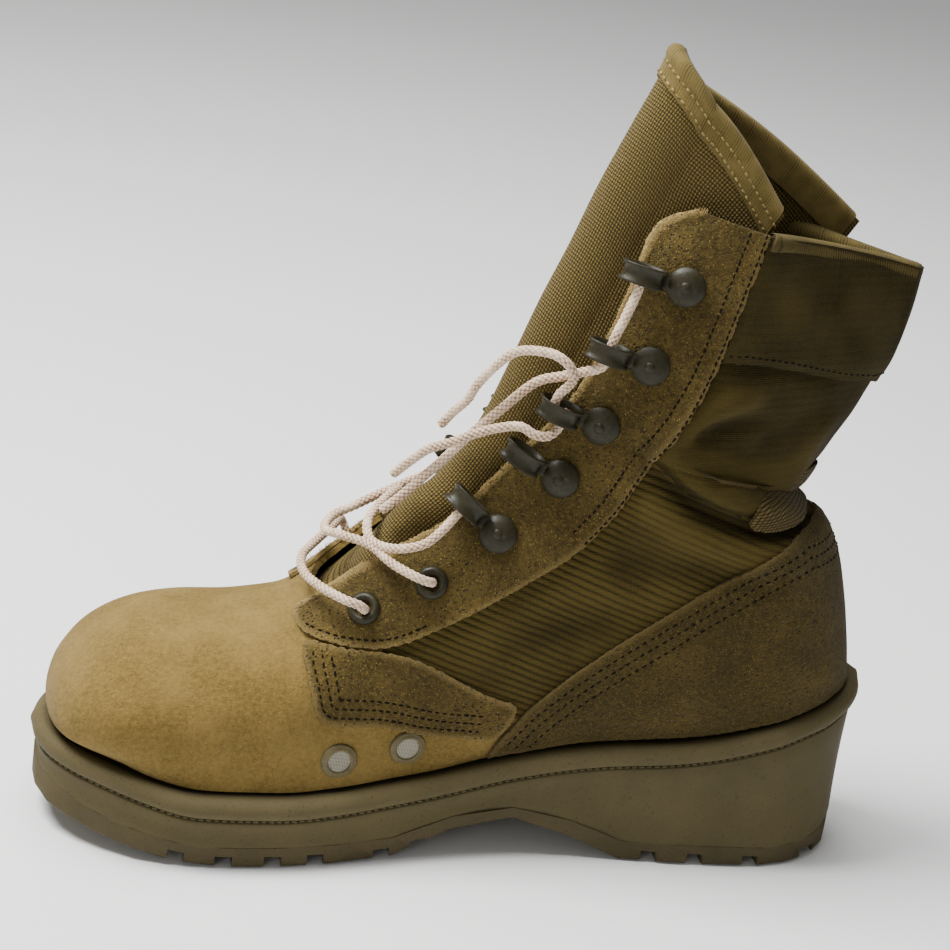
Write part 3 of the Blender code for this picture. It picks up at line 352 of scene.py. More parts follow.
def wall(t, v):
    """Points on the wall: v runs 0 at the inner foot, 0.5 on the crown line, 1 at the outer foot."""
    v = np.clip(v, 0, 1)
    row = sections(t)
    side = np.where(v <= 0.5, -1.0, 1.0)
    q = 2 * np.minimum(v, 1 - v)
    middle = (row["foot_inner"] + row["foot_outer"]) / 2
    foot = np.abs(np.where(side < 0, row["foot_inner"], row["foot_outer"]) - middle)
    wide = np.maximum(np.where(side < 0, row["inner"], row["outer"]) * BALL_WIDTH, foot)
    share = np.clip(q / TURN_SHARE, 0, 1)
    angle = share * math.pi / 2
    power = 2 / row["low"]
    low_across = foot + (wide - foot) * np.sin(angle) ** power
    rounded = 1 - foot / np.maximum(wide, 1e-6)
    low_up = row["widest"] * (share + rounded * (1 - np.cos(angle) ** power - share))
    start, reach = row["back_s"] + row["plan_shift"], row["front_s"] - row["back_s"]
    plan_here = np.abs(ledge_half_width(start + reach * low_up, side))
    plan_wide = np.abs(ledge_half_width(start + reach * row["widest"], side))
    taper = (plan_here / np.maximum(plan_wide, 1e-6)) ** 0.5
    planned = plan_here + (wide - plan_wide) * np.sin(angle) * taper
    low_across += row["heel"] * (planned - low_across)
    angle = np.clip((q - TURN_SHARE) / (1 - TURN_SHARE), 0, 1) * math.pi / 2
    power = 2 / row["crown"]
    high_across = wide * np.maximum(np.cos(angle), 0) ** power
    high_up = row["widest"] + (1 - row["widest"]) * np.sin(angle) ** power
    across = np.where(q < TURN_SHARE, low_across, high_across)
    up = np.where(q < TURN_SHARE, low_up, high_up)
    x = row["back_x"] + up * (row["top_x"] - row["back_x"])
    z = row["back_z"] + up * (row["top_z"] - row["back_z"])
    return np.stack([x, middle * (1 - q ** 2 * 0.3) + side * across, z], -1)


def unit(vectors):
    return vectors / np.maximum(np.linalg.norm(vectors, axis=-1, keepdims=True), 1e-12)


def wall_normals(t, v):
    """Outward normals of the wall, level across the back seam of a closed section."""
    step_t, step_v = 2e-3, 3e-3
    inside = np.clip(v, 2 * step_v, 1 - 2 * step_v)
    along = wall(t + step_t, inside) - wall(t - step_t, inside)
    around = wall(t, inside + step_v) - wall(t, inside - step_v)
    normals = unit(np.cross(along, around))
    closed = np.clip(t, 0, 1) * LAST_SECTION >= FIRST_CLOSED
    at_seam = closed & ((v <= 0) | (v >= 1))
    normals[at_seam, 1] = 0.0
    return unit(normals)


def line_of(pairs):
    """A line in side view, in metres, from pairs of shares."""
    return np.array([place(*pair) for pair in pairs])


def round_off(line, closed=False, passes=3):
    """Cuts a line's corners until it runs smoothly."""
    for _ in range(passes):
        ahead = np.roll(line, -1, 0) if closed else line[1:]
        here = line if closed else line[:-1]
        cut = np.stack([here * 0.75 + ahead * 0.25, here * 0.25 + ahead * 0.75], 1).reshape(-1, line.shape[1])
        line = cut if closed else np.vstack([line[0], cut[1:-1], line[-1]])
    return line


def spaced(line, step):
    """Points an even step apart on a line."""
    far = np.concatenate([[0], np.cumsum(np.linalg.norm(np.diff(line, axis=0), axis=1))])
    marks = np.linspace(0, far[-1], max(int(round(far[-1] / step)), 2) + 1)
    return np.column_stack([np.interp(marks, far, line[:, axis]) for axis in range(line.shape[1])])


def nearest_on(line, places):
    """Each place's distance from a line, the share of the line nearest to it, and the side it lies on."""
    step = np.diff(line, axis=0)
    length = np.linalg.norm(step, axis=1)
    offset = places[:, None] - line[None, :-1]
    share = np.clip((offset * step).sum(-1) / length ** 2, 0, 1)
    gap = offset - share[..., None] * step
    distance = np.linalg.norm(gap, axis=-1)
    nearest = distance.argmin(1)
    pick = np.arange(len(places)), nearest
    far = np.concatenate([[0], np.cumsum(length)])
    run = (far[nearest] + share[pick] * length[nearest]) / far[-1]
    hand = np.sign(step[nearest, 0] * offset[pick][:, 1] - step[nearest, 1] * offset[pick][:, 0])
    return distance[pick], run, hand


def inside_by(line, places):
    """How far each place lies inside a closed outline, and less than nought outside it."""
    distance, _, _ = nearest_on(np.vstack([line, line[:1]]), places)
    ahead = np.roll(line, -1, 0)
    x, z = places[:, :1], places[:, 1:]
    crosses = (line[:, 1] > z) != (ahead[:, 1] > z)
    rise = np.where(ahead[:, 1] == line[:, 1], 1e-12, ahead[:, 1] - line[:, 1])
    meets = x < line[:, 0] + (z - line[:, 1]) * (ahead[:, 0] - line[:, 0]) / rise
    within = (crosses & meets).sum(1) % 2 == 1
    return np.where(within, distance, -distance)


# Folds listed on the slack shaft: the side, half width and height in metres, then the line in shares.
# A height under nought is a trough.
FOLDS = [
    (-1, 0.0040, -0.0050, [(0.338, 0.640), (0.283, 0.580), (0.213, 0.545), (0.137, 0.540), (0.080, 0.550)]),
    (-1, 0.0080, 0.0058, [(0.330, 0.665), (0.285, 0.628), (0.225, 0.596), (0.150, 0.592), (0.100, 0.600)]),
    (-1, 0.0060, 0.0030, [(0.350, 0.592), (0.290, 0.535), (0.213, 0.500), (0.120, 0.500)]),
    (-1, 0.0060, 0.0034, [(0.322, 0.650), (0.290, 0.700), (0.255, 0.728), (0.205, 0.748)]),
    (-1, 0.0036, -0.0022, [(0.300, 0.650), (0.272, 0.682), (0.235, 0.700), (0.190, 0.700)]),
    (-1, 0.0050, -0.0016, [(0.205, 0.655), (0.160, 0.680), (0.110, 0.720)]),
    (-1, 0.0045, 0.0014, [(0.150, 0.625), (0.120, 0.660), (0.095, 0.700)]),
    (-1, 0.0080, -0.0016, [(0.372, 0.470), (0.303, 0.470), (0.233, 0.476), (0.173, 0.484)]),
    (-1, 0.0060, 0.0013, [(0.420, 0.400), (0.330, 0.425), (0.250, 0.440)]),
    (-1, 0.0070, -0.0014, [(0.480, 0.330), (0.400, 0.370), (0.330, 0.395)]),
    (-1, 0.0020, -0.0014, [(0.300, 0.788), (0.240, 0.788), (0.180, 0.776), (0.110, 0.754)]),
    (-1, 0.0080, -0.0012, [(0.190, 0.930), (0.150, 0.860), (0.130, 0.800)]),
    (1, 0.0040, -0.0046, [(0.335, 0.630), (0.270, 0.575), (0.200, 0.545), (0.137, 0.540), (0.080, 0.550)]),
    (1, 0.0080, 0.0052, [(0.325, 0.655), (0.275, 0.622), (0.215, 0.596), (0.150, 0.592), (0.100, 0.600)]),
    (1, 0.0060, 0.0018, [(0.345, 0.590), (0.280, 0.530), (0.200, 0.500), (0.120, 0.500)]),
    (1, 0.0060, 0.0030, [(0.315, 0.655), (0.275, 0.700), (0.215, 0.735)]),
    (1, 0.0040, -0.0018, [(0.290, 0.645), (0.250, 0.675), (0.200, 0.690)]),
    (1, 0.0080, -0.0014, [(0.350, 0.475), (0.290, 0.470), (0.210, 0.480)]),
    (1, 0.0070, 0.0012, [(0.420, 0.395), (0.330, 0.415), (0.250, 0.430)]),
    (1, 0.0020, -0.0014, [(0.300, 0.788), (0.240, 0.788), (0.180, 0.776), (0.110, 0.754)]),
    (0, 0.0040, -0.0026, [(0.090, 0.545), (0.010, 0.565)]),
    (0, 0.0070, 0.0018, [(0.110, 0.600), (0.020, 0.640)]),
    (0, 0.0120, 0.0013, [(0.270, 0.880), (0.180, 0.868), (0.040, 0.840)]),
    (0, 0.0200, 0.0006, [(0.900, 0.260), (0.780, 0.290), (0.690, 0.300)]),
]
FOLD_LINES = [(side, width, height, round_off(line_of(line))) for side, width, height, line in FOLDS]


def folds(points):
    """How far the wall's folds lift or sink it at points on the plain wall."""
    flat = points[:, [0, 2]]
    total = np.zeros(len(points))
    for side, width, height, line in FOLD_LINES:
        distance, run, _ = nearest_on(line, flat)
        fade = np.clip(4 * run * (1 - run), 0.05, 1) ** 0.5
        if side:
            fade = fade * smooth([0, 0.010], [0, 1], side * points[:, 1])
        total += height * fade * np.exp(-((distance / width) ** 2))
    # Cloth never lies quite flat
    x, y, z = (points / 0.001).T
    long_waves = np.sin(x / 7.1 + 1.3 * np.sin(z / 9.0)) * np.sin(z / 6.3 + y / 11.0)
    return total + RIPPLE_HEIGHT * (long_waves + 0.5 * np.sin(x / 3.9 - z / 4.7))


def spread_sections(step, first):
    """Shares of the way from toe to collar, an even step apart by how far the wall moves."""
    fine = np.linspace(first, 1, 900)
    row = sections(fine)
    front = np.hypot(np.diff(row["top_x"]), np.diff(row["top_z"]))
    back = np.hypot(np.diff(row["back_x"]), np.diff(row["back_z"]))
    far = np.concatenate([[0], np.cumsum(np.maximum(front, back))])
    return np.interp(np.linspace(0, far[-1], int(far[-1] / step) + 1), far, fine)


def keep_above(columns, faces, field, snap):
    """Cuts four-cornered faces along the line where the field is nought, and keeps the part above it."""
    field = np.where(np.abs(field) < snap, 0.0, field)
    above = field >= 0
    whole = above[faces].all(1)
    mixed = above[faces].any(1) & ~whole
    kept = faces[whole].tolist()
    columns, made = list(columns), {}
    for face in faces[mixed]:
        corners = []
        for here, ahead in zip(face, np.roll(face, -1)):
            if above[here]:
                corners.append(here)
            if above[here] == above[ahead]:
                continue
            top, low = (here, ahead) if above[here] else (ahead, here)
            if field[top] == 0:
                continue
            if (top, low) not in made:
                share = field[top] / (field[top] - field[low])
                made[top, low] = len(columns)
                columns.append(columns[top] + share * (columns[low] - columns[top]))
            corners.append(made[top, low])
        if len(corners) > 2:
            kept.append(corners)
    used = sorted({corner for face in kept for corner in face})
    order = {old: new for new, old in enumerate(used)}
    return np.array([columns[k] for k in used]), [[order[c] for c in face] for face in kept]


def patch(field_of, step, halves=(-1, 1), first=0.0):
    """The part of the wall where a field over its points is above nought: t, v and the field, and faces."""
    rows = spread_sections(step, first)
    all_columns, all_faces, base = [], [], 0
    for half in halves:
        columns = np.linspace(0, 0.5, int(PATCH_WIDTH / step) + 1)
        if half > 0:
            columns = 0.5 + columns
        t, v = (grid.ravel() for grid in np.meshgrid(rows, columns, indexing="ij"))
        field = field_of(wall(t, v))
        near = np.arange(len(t)).reshape(len(rows), len(columns))
        corners = [near[:-1, :-1], near[1:, :-1], near[1:, 1:], near[:-1, 1:]]
        quads = np.stack([grid.ravel() for grid in corners], 1)
        points, faces = keep_above(np.column_stack([t, v, field]), quads, field, step * 0.12)
        all_columns.append(points)
        all_faces += [[c + base for c in face] for face in faces]
        base += len(points)
    return np.vstack(all_columns), all_faces


def plain_mesh(name, points, faces, numbers=None, looks=(), weld=True):
    """A mesh object at the origin, with numbers stored on its points by name."""
    mesh = bpy.data.meshes.new(name)
    mesh.from_pydata(np.asarray(points, float).tolist(), [], faces)
    for key, values in (numbers or {}).items():
        values = np.asarray(values, np.float32)
        kind, field = ("FLOAT_VECTOR", "vector") if values.ndim > 1 else ("FLOAT", "value")
        mesh.attributes.new(key, kind, "POINT").data.foreach_set(field, values.ravel())
    if weld:
        shape = bmesh.new()
        shape.from_mesh(mesh)
        bmesh.ops.remove_doubles(shape, verts=shape.verts, dist=2e-6)
        shape.to_mesh(mesh)
        shape.free()
    for look in looks:
        mesh.materials.append(look)
    made = bpy.data.objects.new(name, mesh)
    bpy.context.scene.collection.objects.link(made)
    return made


def finished(obj, crease):
    """The object's modifiers applied for good, and its faces shaded smooth up to a crease in degrees."""
    bpy.context.view_layer.update()
    graph = bpy.context.evaluated_depsgraph_get()
    shown = obj.evaluated_get(graph)
    mesh = bpy.data.meshes.new_from_object(shown, preserve_all_data_layers=True, depsgraph=graph)
    obj.modifiers.clear()
    obj.data = mesh
    mesh.name = obj.name
    mesh.shade_smooth()
    mesh.set_sharp_from_angle(angle=math.radians(crease))
    return obj


def thickened(obj, thickness, bevel=0.0, inside_look=0):
    """A surface given its thickness on the outer side if that is above nought, its rims rounded."""
    wall_maker = obj.modifiers.new("thickness", "SOLIDIFY")
    wall_maker.thickness = abs(thickness)
    wall_maker.offset = 1 if thickness > 0 else -1
    wall_maker.material_offset = inside_look
    wall_maker.use_even_offset = False
    if bevel:
        edge = obj.modifiers.new("rounded rims", "BEVEL")
        edge.width = bevel
        edge.segments = 2
        edge.limit_method = "ANGLE"
        edge.angle_limit = math.radians(55)
        edge.harden_normals = False
    return finished(obj, 55)


def ride(obj, slot, *nodes):
    """Puts a piece on the boot, in place of CAD nodes; the slot is not used."""
    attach(obj, "root")
    if nodes:
        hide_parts(*nodes)
    return obj


# Raw edges of thick suede wander a little
def wander(points):
    x, y, z = (points / 0.001).T
    return EDGE_WANDER * (np.sin(x * 1.9 + z * 1.1) * np.sin(z * 2.3 - y) + 0.6 * np.sin(x * 4.1 - z * 3.3))


def layer(name, outline, nearest, halves, step, looks, bump, first=0.0, raw_line=None):
    """A layer of cloth or suede on the wall, cut to a side outline and at least so far from the middle."""
    def field(points):
        inside = inside_by(outline, points[:, [0, 2]])
        if nearest is not None:
            inside = np.minimum(inside, np.abs(points[:, 1]) - nearest)
        return inside + wander(points)

    shares, faces = patch(field, step, halves, first)
    t, v, edge = shares.T
    base, normals = wall(t, v), wall_normals(t, v)
    lift = folds(base)
    points = base + normals * (lift + bump(base, edge) + CLEARANCE)[:, None]
    raw = np.full(len(edge), 0.35)
    if raw_line is not None:
        distance, _, _ = nearest_on(raw_line, base[:, [0, 2]])
        raw = smooth([0, 0.0045, 0.009], [1, 1, 0.35], distance)
    numbers = {"edge": edge, "fold": lift, "raw": raw}
    obj = plain_mesh(name, points, faces, numbers, looks)
    return thickened(obj, OVERLAY_THICKNESS, RIM_ROUNDING)


# Node trees, written a node at a time
def put(tree, kind, inputs=None, **settings):
    """A new node: its settings, and its inputs by name or number, each a value or another node's output."""
    node = tree.nodes.new(kind)
    for key, value in settings.items():
        setattr(node, key, value)
    for key, value in (inputs or {}).items():
        if isinstance(value, bpy.types.NodeSocket):
            tree.links.new(value, node.inputs[key])
        else:
            node.inputs[key].default_value = value
    return node


def calc(tree, operation, *values):
    """A Math node's result."""
    return put(tree, "ShaderNodeMath", dict(enumerate(values)), operation=operation).outputs[0]


def new_tree(name, sizes):
    """A Geometry Nodes tree with named inputs for its sizes, its input node and its output node."""
    tree = bpy.data.node_groups.new(name, "GeometryNodeTree")
    tree.interface.new_socket("Geometry", in_out="INPUT", socket_type="NodeSocketGeometry")
    tree.interface.new_socket("Geometry", in_out="OUTPUT", socket_type="NodeSocketGeometry")
    for title, kind in sizes.items():
        tree.interface.new_socket(title, in_out="INPUT", socket_type="NodeSocket" + kind)
    return tree, put(tree, "NodeGroupInput").outputs, put(tree, "NodeGroupOutput")


def close_tree(tree, made, look, end):
    """Ends a tree in Realize Instances and Set Material."""
    real = put(tree, "GeometryNodeRealizeInstances", {"Geometry": made})
    dressed = put(tree, "GeometryNodeSetMaterial", {"Geometry": real.outputs[0], "Material": look})
    tree.links.new(dressed.outputs[0], end.inputs[0])
    return tree


def named(tree, name, kind):
    """A mesh attribute's values in a Geometry Nodes tree."""
    return put(tree, "GeometryNodeInputNamedAttribute", {"Name": name}, data_type=kind).outputs[0]


def braided_cord_tree():
    """A cord along a line of edges, with its braid raised in diamonds."""
    tree, given, end = new_tree("braided cord", {
        "Width": "Float", "Thickness": "Float", "Strands": "Int", "Pitch": "Float", "Relief": "Float",
        "Sides": "Int", "Material": "Material",
    })
    path = put(tree, "GeometryNodeMeshToCurve", {"Mesh": given["Geometry"]})
    run = put(tree, "GeometryNodeCaptureAttribute", {"Geometry": path.outputs[0]})
    run.capture_items.new("FLOAT", "run")
    tree.links.new(put(tree, "GeometryNodeSplineParameter").outputs["Length"], run.inputs["run"])
    ring = put(tree, "GeometryNodeCurvePrimitiveCircle", {"Resolution": given["Sides"], "Radius": 0.5})
    turn = put(tree, "GeometryNodeCaptureAttribute", {"Geometry": ring.outputs[0]})
    turn.capture_items.new("FLOAT", "turn")
    tree.links.new(put(tree, "GeometryNodeSplineParameter").outputs["Factor"], turn.inputs["turn"])
    size = put(tree, "ShaderNodeCombineXYZ", {"X": given["Width"], "Y": given["Thickness"], "Z": 1.0})
    oval = put(tree, "GeometryNodeTransform", {"Geometry": turn.outputs[0], "Scale": size.outputs[0]})
    tube = put(tree, "GeometryNodeCurveToMesh", {
        "Curve": run.outputs[0], "Profile Curve": oval.outputs[0], "Fill Caps": True,
    })
    lengthwise = calc(tree, "MULTIPLY", calc(tree, "DIVIDE", run.outputs["run"], given["Pitch"]), math.pi)
    around = calc(tree, "MULTIPLY", calc(tree, "MULTIPLY", turn.outputs["turn"], given["Strands"]), math.pi)
    one = calc(tree, "ABSOLUTE", calc(tree, "SINE", calc(tree, "ADD", around, lengthwise)))
    other = calc(tree, "ABSOLUTE", calc(tree, "SINE", calc(tree, "SUBTRACT", around, lengthwise)))
    height = calc(tree, "MULTIPLY", one, other)
    normal = put(tree, "GeometryNodeInputNormal").outputs[0]
    lift = calc(tree, "MULTIPLY", height, given["Relief"])
    out = put(tree, "ShaderNodeVectorMath", {0: normal, "Scale": lift}, operation="SCALE")
    raised = put(tree, "GeometryNodeSetPosition", {"Geometry": tube.outputs[0], "Offset": out.outputs[0]})
    kept = put(tree, "GeometryNodeStoreNamedAttribute", {
        "Geometry": raised.outputs[0], "Name": "relief", "Value": height,
    }, data_type="FLOAT", domain="POINT")
    return close_tree(tree, kept.outputs[0], given["Material"], end)


def set_out_tree():
    """Copies of a piece on points, turned by each point's outward and along vectors, with some chance."""
    tree, given, end = new_tree("pieces set out", {
        "Piece": "Object", "Tilt": "Float", "Size change": "Float", "Seed": "Int", "Material": "Material",
    })
    piece = put(tree, "GeometryNodeObjectInfo", {"Object": given["Piece"], "As Instance": True})
    axes = {place: named(tree, key, "FLOAT_VECTOR") for place, key in enumerate(("outward", "along"))}
    facing = put(tree, "FunctionNodeAxesToRotation", axes, primary_axis="Z", secondary_axis="X")
    tilt = calc(tree, "MULTIPLY", given["Tilt"], -1.0)
    chance = put(tree, "FunctionNodeRandomValue", {"Seed": given["Seed"]}, data_type="FLOAT_VECTOR")
    tree.links.new(tilt, chance.inputs[0])
    tree.links.new(given["Tilt"], chance.inputs[1])
    turned = put(tree, "FunctionNodeRotateRotation", {
        "Rotation": facing.outputs[0], "Rotate By": chance.outputs[0],
    })
    turned.rotation_space = "LOCAL"
    size = put(tree, "FunctionNodeRandomValue", {
        "Seed": calc(tree, "ADD", given["Seed"], 1.0), 2: calc(tree, "SUBTRACT", 1.0, given["Size change"]),
        3: calc(tree, "ADD", 1.0, given["Size change"]),
    }, data_type="FLOAT")
    placed = put(tree, "GeometryNodeInstanceOnPoints", {
        "Points": given["Geometry"], "Instance": piece.outputs["Geometry"], "Rotation": turned.outputs[0],
        "Scale": size.outputs[1],
    })
    return close_tree(tree, placed.outputs[0], given["Material"], end)


def ribbed_tape_tree():
    """Tape woven in ribs: each point moves along its outward vector by a rib for each pitch of its run."""
    tree, given, end = new_tree("ribbed tape", {
        "Pitch": "Float", "Relief": "Float", "Material": "Material",
    })
    run, outward = named(tree, "run", "FLOAT"), named(tree, "outward", "FLOAT_VECTOR")
    phase = calc(tree, "MULTIPLY", calc(tree, "DIVIDE", run, given["Pitch"]), math.pi)
    height = calc(tree, "ABSOLUTE", calc(tree, "SINE", phase))
    offset = put(tree, "ShaderNodeVectorMath", {
        0: outward, "Scale": calc(tree, "MULTIPLY", height, given["Relief"]),
    }, operation="SCALE")
    raised = put(tree, "GeometryNodeSetPosition", {
        "Geometry": given["Geometry"], "Offset": offset.outputs[0],
    })
    kept = put(tree, "GeometryNodeStoreNamedAttribute", {
        "Geometry": raised.outputs[0], "Name": "relief", "Value": height,
    }, data_type="FLOAT", domain="POINT")
    return close_tree(tree, kept.outputs[0], given["Material"], end)


def grown(name, start, tree, **sizes):
    """A plain mesh made by a tree from a starting mesh object, which is used up."""
    maker = start.modifiers.new(tree.name, "NODES")
    maker.node_group = tree
    for item in tree.interface.items_tree:
        if item.in_out == "INPUT" and item.name in sizes:
            maker[item.identifier] = sizes[item.name]
    start.name = name
    return finished(start, 50)


def set_out(name, points, outward, along, piece, look, tilt=0.0, change=0.0, seed=1):
    """A piece copied onto points, its Z turned outward and its X along."""
    start = plain_mesh("points", points, [], {"outward": outward, "along": along}, weld=False)
    return grown(name, start, SET_OUT, **{
        "Piece": piece, "Tilt": tilt, "Size change": change, "Seed": seed, "Material": look,
    })


def revolved(profile, sides, axis="Z", closed=False):
    """Points and faces of a profile of (radius, height) pairs turned round an axis."""
    turn = np.linspace(0, 2 * math.pi, sides, endpoint=False)
    radius, height = np.array(profile).T
    x, y = np.outer(radius, np.cos(turn)), np.outer(radius, np.sin(turn))
    z = np.repeat(height[:, None], sides, 1)
    points = np.stack([x, y, z] if axis == "Z" else [x, -z, y], -1).reshape(-1, 3)
    faces, count = [], len(profile)
    for k in range(count if closed else count - 1):
        for i in range(sides):
            j, m = (i + 1) % sides, (k + 1) % count
            faces.append((k * sides + i, m * sides + i, m * sides + j, k * sides + j))
    return points, faces


def joined(parts):
    """Points and faces of several bodies as one list."""
    points, faces, base = [], [], 0
    for some_points, some_faces in parts:
        points.append(np.asarray(some_points, float))
        faces += [[c + base for c in face] for face in some_faces]
        base += len(some_points)
    return np.vstack(points), faces


def pattern_piece(name, parts, bevel=0.0):
    """A small piece kept out of sight for set_out_tree to copy."""
    points, faces = joined(parts)
    obj = plain_mesh(name, points, faces)
    shape = bmesh.new()
    shape.from_mesh(obj.data)
    bmesh.ops.recalc_face_normals(shape, faces=shape.faces)
    shape.to_mesh(obj.data)
    shape.free()
    if bevel:
        edge = obj.modifiers.new("edges", "BEVEL")
        edge.width = bevel
        edge.segments = 2
        edge.limit_method = "ANGLE"
    finished(obj, 40)
    PATTERN_PIECES.append(obj)
    return obj


PATTERN_PIECES = []


# Materials
def srgb(red, green, blue):
    """A colour as Blender wants it, from the usual 0 to 255."""
    share = np.array([red, green, blue]) / 255
    linear = np.where(share <= 0.04045, share / 12.92, ((share + 0.055) / 1.055) ** 2.4)
    return (*linear.tolist(), 1.0)


def new_look(name, roughness, **sockets):
    """A material with its shader: its tree, and the shader's node."""
    look = bpy.data.materials.new(name)
    look.use_nodes = True
    tree = look.node_tree
    tree.nodes.clear()
    shader = put(tree, "ShaderNodeBsdfPrincipled", {"Roughness": roughness})
    for key, value in sockets.items():
        shader.inputs[key.replace("_", " ")].default_value = value
    out = put(tree, "ShaderNodeOutputMaterial")
    tree.links.new(shader.outputs[0], out.inputs[0])
    return look, tree, shader


def object_place(tree):
    """Object coordinates, which are the boot's own metres."""
    return put(tree, "ShaderNodeTexCoord").outputs["Object"]


def noise(tree, vector, scale, detail, rough=0.5):
    return put(tree, "ShaderNodeTexNoise", {
        "Vector": vector, "Scale": scale, "Detail": detail, "Roughness": rough,
    }).outputs["Fac"]


def spread(tree, value, low, high, to_low=0.0, to_high=1.0):
    """A value's range from low to high, spread over another range and held there."""
    return put(tree, "ShaderNodeMapRange", {0: value, 1: low, 2: high, 3: to_low, 4: to_high}).outputs[0]


def tint(tree, share, first, second):
    """Two colours mixed by a share."""
    return put(tree, "ShaderNodeMix", {0: share, 6: first, 7: second}, data_type="RGBA").outputs[2]


def number(tree, name):
    return put(tree, "ShaderNodeAttribute", attribute_name=name).outputs["Fac"]


def raise_by(tree, shader, height, distance, strength):
    """Bumps the shader by a height from 0 to 1 over a distance in metres."""
    bump = put(tree, "ShaderNodeBump", {"Height": height, "Distance": distance, "Strength": strength})
    tree.links.new(bump.outputs[0], shader.inputs["Normal"])


def colour_in(tree, shader, colour):
    tree.links.new(colour, shader.inputs["Base Color"])


def suede(name, base, light, dark, fleck, fleck_share, pit, raw=None, nap_height=0.00022):
    """Suede: mottled and napped, with bright flecks as painted glints, pits darkened as painted shade, pale
    along a raw edge, and darkened in its folds' troughs as painted shade.
    """
    look, tree, shader = new_look(name, 0.93, Specular_IOR_Level=0.08, Sheen_Weight=0.05, Sheen_Roughness=0.6)
    here = object_place(tree)
    clouds = noise(tree, here, 45, 3.0, 0.55)
    nap = noise(tree, here, 620, 4.0, 0.65)
    grain = noise(tree, here, 1500, 2.0, 0.7)
    colour = tint(tree, spread(tree, nap, 0.30, 0.72), dark, base)
    colour = tint(tree, spread(tree, clouds, 0.42, 0.75, 0.0, 0.45), colour, light)
    colour = tint(tree, spread(tree, grain, 0.55, 0.74, 0.0, 0.55), colour, light)
    # Pits darkened nearly black: painted shade in the hollows that the bump also sinks
    pits = put(tree, "ShaderNodeTexVoronoi", {"Vector": here, "Scale": 640.0, "Randomness": 1.0})
    pitted = spread(tree, pits.outputs["Distance"], 0.30, 0.05)
    hollow = calc(tree, "MULTIPLY", pitted, spread(tree, clouds, 0.40, 0.60))
    colour = tint(tree, calc(tree, "MULTIPLY", hollow, pit), colour, srgb(38, 28, 14))
    # Sparse bright flecks: painted glints where the nap's fibres catch the light
    specks = put(tree, "ShaderNodeTexVoronoi", {"Vector": here, "Scale": 1350.0, "Randomness": 1.0})
    chance = put(tree, "ShaderNodeSeparateColor", {0: specks.outputs["Color"]}).outputs[0]
    sparse = spread(tree, chance, 0.50, 0.98)
    bright = calc(tree, "MULTIPLY", sparse, spread(tree, specks.outputs["Distance"], 0.36, 0.10))
    colour = tint(tree, calc(tree, "MULTIPLY", bright, fleck_share), colour, fleck)
    # The folds' troughs are darkened towards the dark colour: painted shade in the creases
    fold = number(tree, "fold")
    colour = tint(tree, spread(tree, fold, -0.0001, -0.0022, 0.0, 0.55), colour, dark)
    if raw is not None:
        edge = calc(tree, "ADD", number(tree, "edge"), calc(tree, "MULTIPLY", nap, 0.0016))
        worn = calc(tree, "MULTIPLY", spread(tree, edge, 0.0030, 0.0011, 0.0, 0.85), number(tree, "raw"))
        colour = tint(tree, worn, colour, raw)
    colour_in(tree, shader, colour)
    fuzz = calc(tree, "ADD", calc(tree, "MULTIPLY", nap, 0.6), calc(tree, "MULTIPLY", grain, 0.4))
    deep = calc(tree, "SUBTRACT", fuzz, calc(tree, "MULTIPLY", hollow, pit))
    raise_by(tree, shader, deep, nap_height * 4, 0.9)
    return look


def ribbed_nylon(name, base, light, dark, pitch, slope, rib_share, weave_pitch):
    """Nylon cloth: ribs across the side of the boot that fade in places, over a fine plain weave."""
    look, tree, shader = new_look(name, 0.82, Specular_IOR_Level=0.08, Sheen_Weight=0.02, Sheen_Roughness=0.4)
    here = object_place(tree)
    x, _, z = (put(tree, "ShaderNodeSeparateXYZ", {0: here}).outputs[k] for k in range(3))
    along = math.atan(slope)
    wavy = calc(tree, "MULTIPLY", noise(tree, here, 60, 2.0), 0.0012)
    level = calc(tree, "MULTIPLY", x, math.sin(along))
    upright = calc(tree, "MULTIPLY", z, math.cos(along))
    across = calc(tree, "ADD", calc(tree, "ADD", level, upright), wavy)
    rib = calc(tree, "ABSOLUTE", calc(tree, "SINE", calc(tree, "MULTIPLY", across, math.pi / pitch)))
    patchy = spread(tree, noise(tree, here, 38, 2.0), 0.35, 0.60, 0.5, 1.0)
    warp = calc(tree, "SINE", calc(tree, "MULTIPLY", calc(tree, "ADD", x, z), 2 * math.pi / weave_pitch))
    weft = calc(tree, "SINE", calc(tree, "MULTIPLY", calc(tree, "SUBTRACT", x, z), 2 * math.pi / weave_pitch))
    weave = spread(tree, calc(tree, "MULTIPLY", warp, weft), -1.0, 1.0)
    height = calc(tree, "ADD",
                  calc(tree, "MULTIPLY", rib, calc(tree, "MULTIPLY", patchy, rib_share)),
                  calc(tree, "MULTIPLY", weave, 0.35))
    fuzz = noise(tree, here, 900, 3.0, 0.6)
    raised = calc(tree, "ADD", height, calc(tree, "MULTIPLY", fuzz, 0.5))
    # Lower in the ribs and the weave is darker: painted shade in their grooves, with the fuzz's own random
    # tone
    colour = tint(tree, spread(tree, raised, 0.25, 1.2), dark, base)
    colour = tint(tree, spread(tree, noise(tree, here, 32, 3.0), 0.45, 0.80, 0.0, 0.30), colour, light)
    # The folds' troughs are darkened as painted shade; their ridges are made paler
    fold = number(tree, "fold")
    colour = tint(tree, spread(tree, fold, -0.0002, -0.0024, 0.0, 0.7), colour, dark)
    colour = tint(tree, spread(tree, fold, 0.0003, 0.0018, 0.0, 0.35), colour, light)
    colour_in(tree, shader, colour)
    raise_by(tree, shader, height, 0.0007, 0.8)
    return look


